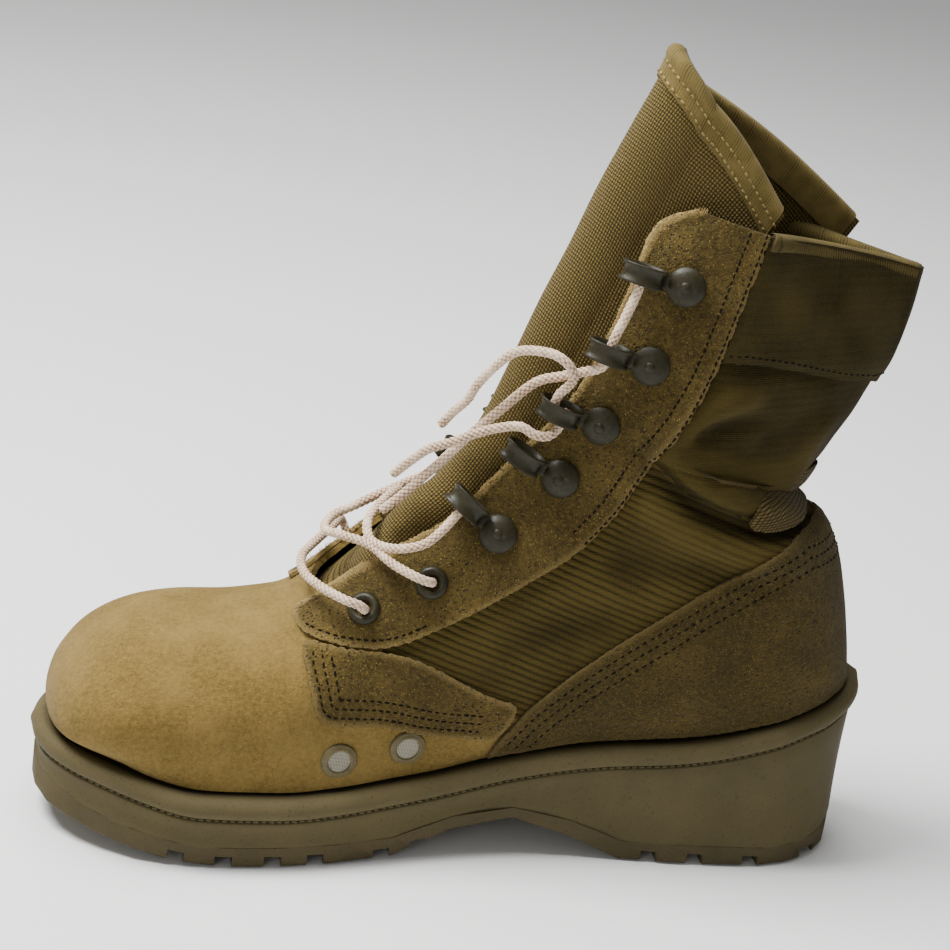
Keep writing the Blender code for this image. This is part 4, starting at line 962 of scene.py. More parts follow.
def woven_look(name, base, dark, light, pitch):
    """A basket weave that follows the cloth: over and under in a check of one pitch."""
    look, tree, shader = new_look(name, YARN_ROUGHNESS, Specular_IOR_Level=0.12, Sheen_Weight=0.04)
    cloth = put(tree, "ShaderNodeAttribute", attribute_name="cloth").outputs["Vector"]
    here = object_place(tree)
    jitter = put(tree, "ShaderNodeTexNoise", {"Vector": here, "Scale": 260.0, "Detail": 2.0}).outputs["Color"]
    shift = {0: jitter, "Scale": pitch * 0.35}
    moved = put(tree, "ShaderNodeVectorMath", shift, operation="SCALE").outputs[0]
    cloth = put(tree, "ShaderNodeVectorMath", {0: cloth, 1: moved}, operation="ADD").outputs[0]
    u, w = (put(tree, "ShaderNodeSeparateXYZ", {0: cloth}).outputs[k] for k in range(2))
    turns = [calc(tree, "MULTIPLY", axis, math.pi / pitch) for axis in (u, w)]
    check = calc(tree, "MULTIPLY", *[calc(tree, "SINE", turn) for turn in turns])
    gaps = calc(tree, "MULTIPLY", *[calc(tree, "ABSOLUTE", calc(tree, "SINE", turn)) for turn in turns])
    yarn = noise(tree, here, 1300, 3.0, 0.7)
    height = calc(tree, "POWER", gaps, 0.5)
    # The gaps between the yarns are darker: painted shade, mixed with the yarn's own random tone
    shade = calc(tree, "ADD", calc(tree, "MULTIPLY", height, 0.75), calc(tree, "MULTIPLY", yarn, 0.35))
    colour = tint(tree, spread(tree, shade, 0.30, 0.80), dark, base)
    colour = tint(tree, spread(tree, check, 0.2, 0.9, 0.0, 0.5), colour, light)
    colour_in(tree, shader, colour)
    raise_by(tree, shader, calc(tree, "ADD", height, calc(tree, "MULTIPLY", check, 0.25)), WEAVE_RELIEF, 0.9)
    return look


def relief_look(name, base, dark, light):
    """Yarn whose gaps, kept as relief by the trees, are painted dark as shade."""
    look, tree, shader = new_look(name, YARN_ROUGHNESS, Specular_IOR_Level=0.12, Sheen_Weight=0.05)
    here = object_place(tree)
    yarn = noise(tree, here, 1500, 3.0, 0.7)
    worn = noise(tree, here, 120, 2.0)
    height = calc(tree, "ADD", number(tree, "relief"), calc(tree, "MULTIPLY", yarn, 0.5))
    # Low relief is darker: painted shade in the gaps between ribs and strands
    colour = tint(tree, spread(tree, height, 0.28, 0.85), dark, base)
    colour = tint(tree, spread(tree, worn, 0.45, 0.7, 0.0, 0.6), colour, light)
    colour_in(tree, shader, colour)
    raise_by(tree, shader, yarn, 0.0002, 0.8)
    return look


def painted_metal_look(name, base, light, bare):
    """Brown paint on metal: satin, worn pale in patches, with fine dust in it."""
    look, tree, shader = new_look(name, 0.44, Specular_IOR_Level=0.22, Coat_Weight=0.04, Coat_Roughness=0.35)
    here = object_place(tree)
    spots = noise(tree, here, 700, 4.0, 0.7)
    worn = noise(tree, here, 240, 3.0, 0.6)
    colour = tint(tree, spread(tree, spots, 0.35, 0.7), base, light)
    colour = tint(tree, spread(tree, worn, 0.66, 0.78, 0.0, 0.4), colour, bare)
    colour_in(tree, shader, colour)
    tree.links.new(spread(tree, worn, 0.3, 0.7, 0.34, 0.62), shader.inputs["Roughness"])
    raise_by(tree, shader, spots, 0.00012, 0.7)
    return look


def moulded_sole_look(name, base, light, dark):
    """Moulded rubber and foam: matt, faintly grained, dusty in places, and darkened in its grooves as painted
    shade.
    """
    look, tree, shader = new_look(name, 0.72, Specular_IOR_Level=0.18)
    here = object_place(tree)
    dust = noise(tree, here, 30, 4.0, 0.6)
    grain = noise(tree, here, 1100, 3.0, 0.6)
    colour = tint(tree, spread(tree, dust, 0.35, 0.68), base, light)
    colour = tint(tree, spread(tree, grain, 0.42, 0.30, 0.0, 0.45), colour, dark)
    # Darker by each loop's groove number: painted shade under the lip, on the ledge and inside the cup
    colour = tint(tree, spread(tree, number(tree, "groove"), 0.0, 1.0, 0.0, 0.85), colour, dark)
    colour_in(tree, shader, colour)
    tree.links.new(spread(tree, dust, 0.3, 0.7, 0.62, 0.82), shader.inputs["Roughness"])
    raise_by(tree, shader, grain, 0.00015, 0.6)
    return look


def thread_look(name, base, dark):
    look, tree, shader = new_look(name, 0.85, Specular_IOR_Level=0.08, Sheen_Weight=0.02)
    here = object_place(tree)
    colour = tint(tree, spread(tree, noise(tree, here, 1400, 2.0), 0.35, 0.65), dark, base)
    colour_in(tree, shader, colour)
    return look


def vent_mesh_look():
    """The fine wire mesh under a drain vent: pale wires over holes painted dark as shade."""
    look, tree, shader = new_look("vent mesh", 0.5, Metallic=0.1)
    x, _, z = (put(tree, "ShaderNodeSeparateXYZ", {0: object_place(tree)}).outputs[k] for k in range(3))
    turns = [calc(tree, "MULTIPLY", axis, math.pi / WIRE_PITCH) for axis in (x, z)]
    wires = [calc(tree, "ABSOLUTE", calc(tree, "SINE", turn)) for turn in turns]
    hole = calc(tree, "MULTIPLY", *wires)
    # The holes between the wires are painted darker: painted shade from the hollow behind the mesh
    wire, gap = srgb(168, 164, 146), srgb(104, 98, 80)
    colour_in(tree, shader, tint(tree, spread(tree, hole, 0.25, 0.55), wire, gap))
    raise_by(tree, shader, calc(tree, "SUBTRACT", 1.0, hole), 0.0003, 0.8)
    return look


VAMP_SUEDE = suede(
    "vamp suede", srgb(120, 99, 50), srgb(142, 118, 66), srgb(90, 73, 34), srgb(176, 150, 92), 0.25, 0.06,
)
ROUGH_SUEDE = suede(
    "rough suede", srgb(80, 66, 28), srgb(110, 91, 44), srgb(42, 34, 13), srgb(178, 148, 78), 0.60, 1.0,
    raw=srgb(150, 128, 80), nap_height=0.00048,
)
COUNTER_SUEDE = suede(
    "counter suede", srgb(70, 58, 22), srgb(92, 77, 36), srgb(42, 34, 12), srgb(156, 128, 64), 0.55, 0.85,
    raw=srgb(104, 88, 48), nap_height=0.00042,
)
QUARTER_NYLON = ribbed_nylon(
    "quarter nylon", srgb(74, 63, 28), srgb(90, 78, 38), srgb(28, 22, 9), 0.0025, 0.326, 1.0, 0.0016,
)
ANKLE_NYLON = ribbed_nylon(
    "ankle nylon", srgb(71, 60, 26), srgb(91, 78, 38), srgb(26, 21, 8), 0.0030, 0.0, 0.15, 0.0014,
)
CUFF_NYLON = ribbed_nylon(
    "cuff nylon", srgb(75, 64, 30), srgb(96, 83, 43), srgb(30, 25, 11), 0.0030, 0.0, 0.12, 0.0013,
)
LINING = ribbed_nylon(
    "lining", srgb(72, 60, 32), srgb(90, 76, 46), srgb(32, 26, 13), 0.0030, 0.0, 0.10, 0.0018,
)
TONGUE_CLOTH = woven_look("tongue cloth", srgb(102, 86, 42), srgb(38, 30, 13), srgb(126, 107, 60), 0.0012)
HEM_TAPE = relief_look("hem tape", srgb(100, 86, 46), srgb(42, 34, 15), srgb(120, 103, 60))
COLLAR_TAPE = relief_look("collar tape", srgb(74, 63, 30), srgb(34, 27, 11), srgb(88, 76, 38))
HEEL_WEBBING = woven_look("heel webbing", srgb(88, 74, 38), srgb(34, 27, 12), srgb(108, 92, 52), 0.0007)
LACE_YARN = relief_look("lace yarn", srgb(218, 192, 164), srgb(104, 74, 50), srgb(234, 212, 186))
METAL = painted_metal_look("painted metal", srgb(30, 27, 12), srgb(43, 39, 20), srgb(96, 86, 52))
VENT_METAL = painted_metal_look("vent ring", srgb(80, 71, 44), srgb(98, 88, 58), srgb(140, 128, 94))
FOAM = moulded_sole_look("moulded sole", srgb(73, 65, 40), srgb(85, 76, 50), srgb(32, 27, 14))
RUBBER = moulded_sole_look("outsole rubber", srgb(66, 58, 36), srgb(78, 69, 46), srgb(28, 23, 12))
PALE_THREAD = thread_look("pale thread", srgb(158, 137, 90), srgb(104, 85, 48))
DARK_THREAD = thread_look("dark thread", srgb(24, 18, 8), srgb(11, 8, 4))
RAW_FIBRE = thread_look("raw fibre", srgb(184, 160, 108), srgb(130, 106, 60))
VENT_MESH = vent_mesh_look()

BRAID = braided_cord_tree()
SET_OUT = set_out_tree()
RIBBED = ribbed_tape_tree()


# The sole
def ring(inset, height):
    """A loop of the outline at an inset, with its height worked out from each point."""
    flat = outline_points(inset)
    return np.column_stack([flat, height(flat[:, 0], flat[:, 1])])


def loft(name, rings, painted_groove_shades, look):
    """A closed body from loops of one length, capped across; the groove numbers say how much painted shade
    darkens each loop.
    """
    count, half = len(rings[0]), OUTLINE_STEPS
    around = np.arange(count)
    ahead = (around + 1) % count
    faces = []
    for k in range(len(rings) - 1):
        low, high = k * count, (k + 1) * count
        faces += np.stack([low + around, low + ahead, high + ahead, high + around], 1).tolist()
    for base, flip in ((0, True), ((len(rings) - 1) * count, False)):
        for i in range(half):
            corners = [base + i, base + i + 1, base + count - i - 1, base + (count - i) % count]
            corners = list(dict.fromkeys(corners))
            faces.append(corners[::-1] if flip else corners)
    obj = plain_mesh(name, np.concatenate(rings), faces, {"groove": np.repeat(painted_groove_shades, count)}, [look])
    shape = bmesh.new()
    shape.from_mesh(obj.data)
    bmesh.ops.recalc_face_normals(shape, faces=shape.faces)
    bmesh.ops.triangulate(shape, faces=shape.faces)
    if shape.calc_volume(signed=True) < 0:
        bmesh.ops.reverse_faces(shape, faces=shape.faces)
    shape.to_mesh(obj.data)
    shape.free()
    return obj


def midsole_rings():
    """The cup's loops up its wall, round its lip and down inside, and how much painted shade darkens each, as
    in a groove.
    """
    # Each step's second number is painted shade: dark under the lip, on the ledge by the upper, at the cup's
    # foot and on its floor
    steps = [(0.0026, 0.6, lambda x, y: outsole_top(x, y) - FOOT_OVERLAP)]
    for share in np.linspace(0, 1, 7):
        hollow = 0.0020 + 0.0005 * math.sin(math.pi * share)
        steps.append((hollow, 0.0, lambda x, y, share=share: (
            (1 - share) * (outsole_top(x, y) + CLEARANCE) + share * (ledge(x) - LIP_HEIGHT * 1.22)
        )))
    lip = [
        (0.0022, 1.16, 0.2), (0.0030, 1.08, 1.0), (0.0032, 1.02, 1.0), (0.0024, 0.98, 0.8),
        (0.0012, 0.92, 0.2), (0.0004, 0.80, 0.0), (0.0000, 0.62, 0.0), (0.0001, 0.42, 0.0),
        (0.0007, 0.24, 0.0), (0.0018, 0.10, 0.0), (0.0034, 0.02, 0.0), (LEDGE_INSET - 0.0016, 0.00, 0.5),
        (LEDGE_INSET - 0.0006, 0.02, 1.0), (LEDGE_INSET + UPPER_WALL + 0.0010, 0.00, 1.0),
    ]
    for inset, drop, groove in lip:
        steps.append((inset, groove, lambda x, y, drop=drop: ledge(x) - LIP_HEIGHT * drop))
    steps.append((LEDGE_INSET + UPPER_WALL + 0.0014, 0.5, lambda x, y: floor(x)))
    return [ring(inset, height) for inset, _, height in steps], [groove for _, groove, _ in steps]


def make_midsole():
    rings, painted_groove_shades = midsole_rings()
    obj = loft("moulded_cup", rings, painted_groove_shades, FOAM)
    return ride(finished(obj, 60), "moulded sole", "midsole")


def make_outsole():
    """The rubber tread: the CAD model's own solid with its points merged, so that its edges shade softly."""
    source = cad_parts["outsole"]
    obj = source.copy()
    obj.data = source.data.copy()
    obj.name = "lugged_outsole"
    bpy.context.collection.objects.link(obj)
    shape = bmesh.new()
    shape.from_mesh(obj.data)
    bmesh.ops.remove_doubles(shape, verts=shape.verts, dist=1e-6)
    shape.to_mesh(obj.data)
    shape.free()
    obj.data.materials.clear()
    obj.data.materials.append(RUBBER)
    return ride(finished(obj, 35), "moulded sole", "outsole")


# Places of the fittings on the wall
OUTER_FACE = CLEARANCE + OVERLAY_THICKNESS + CLEARANCE


def wall_frame(s, z, side):
    """The wall at a place in side view: its point, outward normal, and forward direction in it."""
    goal = np.array(place(s, z))
    t_range, q_range = (0.2, 1.0), (0.05, 0.98)
    for _ in range(5):
        t, q = (grid.ravel() for grid in np.meshgrid(np.linspace(*t_range, 50), np.linspace(*q_range, 50)))
        v = q / 2 if side < 0 else 1 - q / 2
        miss = np.linalg.norm(wall(t, v)[:, [0, 2]] - goal, axis=1)
        best = miss.argmin()
        reach_t, reach_q = (t_range[1] - t_range[0]) / 20, (q_range[1] - q_range[0]) / 20
        t_range = (t[best] - reach_t, t[best] + reach_t)
        q_range = (q[best] - reach_q, q[best] + reach_q)
    t, v, step = t[best : best + 1], v[best : best + 1], 2e-3
    throatward = (wall(t, v + step) - wall(t, v - step)) * -side
    point, normal = wall(t, v), wall_normals(t, v)
    return (point + normal * folds(point)[:, None])[0], normal[0], unit(throatward)[0]


def frames_of(places, sides, rise):
    """Points, outward and throatward vectors of fittings that stand a height above the wall."""
    found = [wall_frame(s, z, side) for side in sides for s, z in places]
    points, outward, along = (np.array(column) for column in zip(*found))
    return points + outward * rise, outward, along


EYELET_FRAMES = frames_of(EYELETS, (-1, 1), OUTER_FACE)
HOOK_FRAMES = frames_of(HOOKS, (-1, 1), OUTER_FACE + 2 * CLEARANCE)
VENT_FRAMES = frames_of(VENTS, (-1,), CLEARANCE)


def clear_of_eyelets(points):
    """How far points on the wall lie from the eyelets' holes."""
    room = np.full(len(points), 1.0)
    for centre, axis in zip(EYELET_FRAMES[0], EYELET_FRAMES[1]):
        offset = points - centre
        depth = offset @ axis
        beside = np.linalg.norm(offset - depth[:, None] * axis, axis=1)
        room = np.minimum(room, np.where(np.abs(depth) < 0.008, beside - EYELET_HOLE - 0.0007, 1.0))
    return room


# The upper
THROAT_LINE = round_off(line_of(THROAT_TOP + THROAT_SIDE + THROAT_FRONT), passes=2)
THROAT_OUTLINE = np.vstack([THROAT_LINE, line_of([(0.90, 0.60), (0.90, 1.30), (0.20, 1.30)])])
EYESTAY_LOWER_LINE = round_off(line_of(EYESTAY_FRONT + EYESTAY_LOWER + EYESTAY_BACK), passes=2)
EYESTAY_OUTLINE = np.vstack([THROAT_LINE, EYESTAY_LOWER_LINE])
TAB_OUTLINE = round_off(line_of(TAB_SHAPE), closed=True, passes=2)
GUSSET_OUTLINE = line_of([
    (0.735, 0.310), (0.600, 0.385), (0.520, 0.470), (0.497, 0.560), (0.500, 0.700), (0.760, 0.700),
])
COUNTER_LINE = round_off(line_of(COUNTER_TOP), passes=2)
COUNTER_FOOT = np.array([
    (HEEL_CENTRE - s * SOLE_LENGTH, float(ledge(HEEL_CENTRE - s * SOLE_LENGTH)) + COUNTER_FOOT_RISE)
    for s in np.linspace(-0.1, 0.47, 24)
])
CUFF_OUTLINE = line_of(CUFF)
WEBBING_OUTLINE = round_off(line_of([
    (0.2060, 0.548), (0.1700, 0.540), (0.1300, 0.545), (0.0900, 0.552), (0.0400, 0.556), (-0.0200, 0.556),
    (-0.0200, 0.616), (0.0600, 0.616), (0.1200, 0.612), (0.1650, 0.600), (0.1950, 0.574),
]), closed=True, passes=1)


def zone_of(x, z):
    """Which cloth the wall shows: 0 the suede vamp, 1 the ribbed quarter, 2 the soft ankle."""
    crease = np.interp(x, [-0.070, -0.058, -0.043, -0.022, 0.050], [0.160, 0.153, 0.141, 0.134, 0.134])
    vamp = (x < -0.140) | ((x < -0.085) & (z < 0.070 - (x + 0.140) * 0.33))
    return np.where(vamp, 0, np.where(z > crease, 2, 1))


def make_shell():
    def field(points):
        throat = -inside_by(THROAT_OUTLINE, points[:, [0, 2]])
        return np.minimum(throat, clear_of_eyelets(points))

    shares, faces = patch(field, WALL_STEP)
    t, v, _ = shares.T
    base, normals = wall(t, v), wall_normals(t, v)
    lift = folds(base)
    numbers = {"fold": lift, "edge": np.full(len(lift), 1.0)}
    looks = [VAMP_SUEDE, QUARTER_NYLON, ANKLE_NYLON, LINING, LINING, LINING]
    obj = plain_mesh("shell", base + normals * lift[:, None], faces, numbers, looks)
    centres = np.empty(len(obj.data.polygons) * 3)
    obj.data.polygons.foreach_get("center", centres)
    x, _, z = centres.reshape(-1, 3).T
    obj.data.polygons.foreach_set("material_index", zone_of(x, z).astype(np.int32))
    return ride(thickened(obj, -UPPER_WALL, inside_look=3), "suede", "upper")


def pressed_seam(edge, inset):
    return -0.00030 * np.exp(-(((edge - inset) / 0.0011) ** 2))


BINDING_LINE = round_off(line_of(EYESTAY_BACK), passes=2)


def eyestay_bump(points, edge):
    """Seams pressed in beside the edge, and the binding sewn over the back edge."""
    distance, _, _ = nearest_on(BINDING_LINE, points[:, [0, 2]])
    binding = 0.0006 * smooth([0, 0.0006, 0.0052, 0.0064, 0.02], [0.3, 1, 1, 0, 0], distance)
    high = smooth([0.10, 0.14], [0, 1], points[:, 2])
    return binding * high + pressed_seam(edge, 0.0042)


def tab_bump(points, edge):
    seams = sum(pressed_seam(edge, inset) for inset in (0.0028, 0.0056, 0.0084))
    return seams + 0.0003 * smooth([0, 0.02], [0, 1], edge)


def counter_bump(points, edge):
    distance, _, _ = nearest_on(COUNTER_LINE, points[:, [0, 2]])
    return sum(pressed_seam(distance, inset) for inset in (0.0040, 0.0076, 0.0116))


def cuff_bump(points, edge):
    puffed = 0.0011 * smooth([0, 0.004, 0.012, 0.03], [0, 0.5, 1, 1], edge)
    return puffed + pressed_seam(edge, 0.0020)


def make_layers():
    made = {}
    for word, side in (("inner", -1), ("outer", 1)):
        name = "eyestay_" + word
        made[name] = layer("rough_" + name, EYESTAY_OUTLINE, EYESTAY_NEAREST, (side,), LAYER_STEP,
                           [ROUGH_SUEDE], eyestay_bump, raw_line=THROAT_LINE)
        ride(made[name], "suede", name)
        name = "quarter_tab_" + word
        made[name] = layer("sewn_" + name, TAB_OUTLINE, TAB_NEAREST, (side,), LAYER_STEP,
                           [ROUGH_SUEDE], tab_bump)
        ride(made[name], "suede", name)
    counter = np.vstack([COUNTER_LINE, COUNTER_FOOT])
    made["heel_counter"] = layer("sewn_counter", counter, None, (-1, 1), BAND_STEP,
                                 [COUNTER_SUEDE], counter_bump, first=0.25)
    ride(made["heel_counter"], "suede", "heel_counter")
    made["cuff"] = layer("padded_cuff", CUFF_OUTLINE, None, (-1, 1), BAND_STEP,
                         [CUFF_NYLON], cuff_bump, first=0.5)
    ride(made["cuff"], "nylon", "cuff")
    return made


# Tapes folded over an edge
def bound_edge(name, points, outward, down, profile, tree_sizes):
    """Tape folded over an edge: a closed profile of (out, down) pairs swept along the edge's points."""
    far = np.concatenate([[0], np.cumsum(np.linalg.norm(np.diff(points, axis=0), axis=1))])
    profile = np.array(profile)
    spokes = (profile - profile.mean(0))[None]
    count, sides = len(points), len(profile)
    placed = points[:, None] + outward[:, None] * profile[None, :, :1] + down[:, None] * profile[None, :, 1:]
    facing = outward[:, None] * spokes[..., :1] + down[:, None] * spokes[..., 1:]
    grid = np.arange(count * sides).reshape(count, sides)
    here, ahead = grid[:-1], grid[1:]
    around = np.roll(np.arange(sides), -1)
    quads = np.stack([here, here[:, around], ahead[:, around], ahead], -1).reshape(-1, 4).tolist()
    ends = [grid[0].tolist()[::-1], grid[-1].tolist()]
    numbers = {"run": np.repeat(far, sides), "outward": unit(facing).reshape(-1, 3)}
    start = plain_mesh(name, placed.reshape(-1, 3), quads + ends, numbers)
    shape = bmesh.new()
    shape.from_mesh(start.data)
    bmesh.ops.recalc_face_normals(shape, faces=shape.faces)
    shape.to_mesh(start.data)
    shape.free()
    return grown(name, start, RIBBED, **tree_sizes)


def collar_share(side, s):
    """Where the collar passes a share of the length, as v."""
    v = np.linspace(0, 0.5, 500) if side < 0 else np.linspace(1, 0.5, 500)
    x = wall(np.ones(500), v)[:, 0]
    return float(np.interp(-(HEEL_CENTRE - s * SOLE_LENGTH), -x, v))


TAPE_STEP = 0.00035
HEM_STITCH = 7


def even_steps(step, points, *others):
    """The points at even steps along their line, and what goes with each."""
    run = np.concatenate([[0], np.cumsum(np.linalg.norm(np.diff(points, axis=0), axis=1))])
    places = np.linspace(0, run[-1], round(run[-1] / step) + 1)
    columns = (points, *others)
    return [np.column_stack([np.interp(places, run, axis) for axis in column.T]) for column in columns]


def make_collar_tape():
    start, stop = (collar_share(side, COLLAR_TAPE_END) for side in (-1, 1))
    v = np.concatenate([np.linspace(start, 0, COLLAR_POINTS)[:-1], np.linspace(1, stop, COLLAR_POINTS)])
    top, below = wall(np.ones_like(v), v), wall(np.full_like(v, 0.985), v)
    normals = wall_normals(np.ones_like(v), v)
    seam = COLLAR_POINTS - 1
    normals[seam] = unit(np.array([normals[seam - 1] + normals[seam + 1]]))[0]
    points, outward, down = even_steps(TAPE_STEP, top, normals, unit(below - top))
    outward, down = unit(outward), unit(down)
    points = points + outward * folds(points)[:, None]
    profile = [
        (0.0020, 0.0044), (0.0028, 0.0040), (0.0030, 0.0022), (0.0027, 0.0004), (0.0016, -0.0007),
        (0.0000, -0.0010), (-0.0018, -0.0007), (-0.0028, 0.0004), (-0.0031, 0.0022), (-0.0030, 0.0040),
        (-0.0022, 0.0044),
    ]
    tape = bound_edge("collar_tape", points, outward, down, profile, {
        "Pitch": 0.0011, "Relief": 0.00028, "Material": COLLAR_TAPE,
    })
    return ride(tape, "nylon")


# The tongue
def tongue_surface(h, u):
    """Points on the tongue: h up its front line, u from -1, its inner edge, to 1, its outer edge."""
    h = h * (1 - np.where(u < 0, TONGUE_DROP_INNER, TONGUE_DROP_OUTER) * np.abs(u) ** 1.3)
    places = np.arange(len(TONGUE["depth"]))

    def column(name, h):
        return smooth(places, TONGUE[name], h * places[-1])

    def front(h):
        return np.stack(place(column("front_s", h), column("front_z", h)), -1)

    nose, sides = column("nose", h) * BALL_WIDTH, column("sides", h) * BALL_WIDTH
    flare = 1 + TONGUE_FLARE_OUTER * smooth([0.45, 0.80], [0, 1], h)
    depth = column("depth", h) * SOLE_LENGTH * np.where(u > 0, flare, TONGUE_DEPTH_INNER)
    rise = unit(front(np.minimum(h + 0.02, 1.0)) - front(np.maximum(h - 0.02, 0.0)))
    backward = np.stack([rise[..., 1], -rise[..., 0]], -1)
    nose_depth, nose_share = np.minimum(1.4 * nose, depth), 0.6
    angle = np.clip(np.abs(u) / nose_share, 0, 1) * math.pi / 2
    rest = np.clip((np.abs(u) - nose_share) / (1 - nose_share), 0, 1)
    back = nose_depth * (1 - np.cos(angle)) + (depth - nose_depth) * rest
    across = nose * np.sin(angle) + (sides - nose) * rest
    flat = front(h) + back[..., None] * backward
    return np.stack([flat[..., 0], np.copysign(across, u), flat[..., 1]], -1)


def tongue_normals(h, u):
    """Normals that face forward and outward."""
    step = 4e-3
    inside_h, inside_u = np.clip(h, step, 1 - step), np.clip(u, -1 + step, 1 - step)
    rise = tongue_surface(inside_h + step, inside_u) - tongue_surface(inside_h - step, inside_u)
    around = tongue_surface(inside_h, inside_u + step) - tongue_surface(inside_h, inside_u - step)
    return unit(np.cross(rise, around))


def tongue_sag(h, u):
    """The tongue's own soft waves."""
    return 0.0011 * np.sin(5.2 * u + 1.0) * h ** 2 + 0.0006 * np.sin(9 * h + 3 * u)


def make_tongue():
    """Makes the tongue and its hem tape, and gives the points, outward and down vectors of its top edge."""
    h, u = np.meshgrid(np.linspace(0, 1, TONGUE_ROWS), np.linspace(-1, 1, TONGUE_COLUMNS), indexing="ij")
    base, normals = tongue_surface(h, u), tongue_normals(h, u)
    points = base + normals * tongue_sag(h, u)[..., None]
    up_steps, side_steps = (np.linalg.norm(np.diff(points, axis=axis), axis=2) for axis in (0, 1))
    up_run = np.concatenate([np.zeros((1, TONGUE_COLUMNS)), np.cumsum(up_steps, 0)])
    side_run = np.concatenate([np.zeros((TONGUE_ROWS, 1)), np.cumsum(side_steps, 1)], 1)
    middle = TONGUE_COLUMNS // 2
    side_run = side_run - side_run[:, middle : middle + 1]
    cloth = np.stack([side_run, up_run, np.zeros_like(side_run)], -1).reshape(-1, 3)
    near = np.arange(TONGUE_ROWS * TONGUE_COLUMNS).reshape(TONGUE_ROWS, TONGUE_COLUMNS)
    corners = [near[:-1, :-1], near[1:, :-1], near[1:, 1:], near[:-1, 1:]]
    quads = np.stack([grid.ravel() for grid in corners], 1).tolist()
    obj = plain_mesh("woven_tongue", points.reshape(-1, 3), quads, {"cloth": cloth}, [TONGUE_CLOTH])
    ride(thickened(obj, -TONGUE_THICKNESS, 0.0005), "nylon", "tongue")
    u = np.linspace(-0.985, 0.985, 900)
    top, below = tongue_surface(np.ones_like(u), u), tongue_surface(np.full_like(u, 0.97), u)
    normals = tongue_normals(np.ones_like(u), u)
    top = top + normals * tongue_sag(np.ones_like(u), u)[:, None]
    below = below + normals * tongue_sag(np.full_like(u, 0.97), u)[:, None]
    points, outward, down = even_steps(TAPE_STEP, top, normals, unit(below - top))
    outward, down = unit(outward), unit(down)
    profile = [
        (0.0000, 0.0110), (0.0009, 0.0106), (0.0011, 0.0080), (0.0010, 0.0044), (0.0017, 0.0030),
        (0.0019, 0.0012), (0.0010, -0.0004), (-0.0012, -0.0010), (-0.0034, -0.0004), (-0.0041, 0.0012),
        (-0.0039, 0.0030), (-0.0034, 0.0044), (-0.0035, 0.0080), (-0.0033, 0.0106), (-0.0024, 0.0110),
    ]
    tape = bound_edge("tongue_tape", points, outward, down, profile, {
        "Pitch": 0.0010, "Relief": 0.00022, "Material": HEM_TAPE,
    })
    ride(tape, "nylon")
    return points, outward, down


def make_gusset():
    """The foot of the tongue: cloth sewn in under the lace, just below the edges of the throat."""
    def field(points):
        return inside_by(GUSSET_OUTLINE, points[:, [0, 2]])

    shares, faces = patch(field, 0.0015, (-1, 1), 0.25)
    t, v, _ = shares.T
    base, normals = wall(t, v), wall_normals(t, v)
    sunk = -UPPER_WALL - GUSSET_CLOTH - 0.0030 * np.clip(1 - np.abs(base[:, 1]) / 0.030, 0, 1)
    cloth = np.stack([base[:, 1], base[:, 2] * 1.2 - base[:, 0] * 0.6, base[:, 0] * 0], 1)
    obj = plain_mesh("gusset", base + normals * sunk[:, None], faces, {"cloth": cloth}, [TONGUE_CLOTH])
    return ride(thickened(obj, -GUSSET_CLOTH), "nylon")


# The webbing strip round the top of the heel
def make_heel_webbing():
    """Twill tape laid round the back seam, swelling between its edges."""
    def field(points):
        return inside_by(WEBBING_OUTLINE, points[:, [0, 2]])

    shares, faces = patch(field, 0.0008, (-1, 1), 0.55)
    t, v, edge = shares.T
    base, normals = wall(t, v), wall_normals(t, v)
    swell = CLEARANCE + 0.0004 + 0.0013 * np.clip(edge / 0.005, 0, 1) ** 0.5
    points = base + normals * (0.3 * folds(base) + swell)[:, None]
    turn = np.arctan2(base[:, 1], 0.012 - base[:, 0]) * 0.035
    cloth = np.stack([turn, base[:, 2], base[:, 2] * 0], 1)
    tape = plain_mesh("heel_webbing", points, faces, {"cloth": cloth, "edge": edge}, [HEEL_WEBBING])
    return ride(thickened(tape, 0.0013), "nylon", "heel_strip")


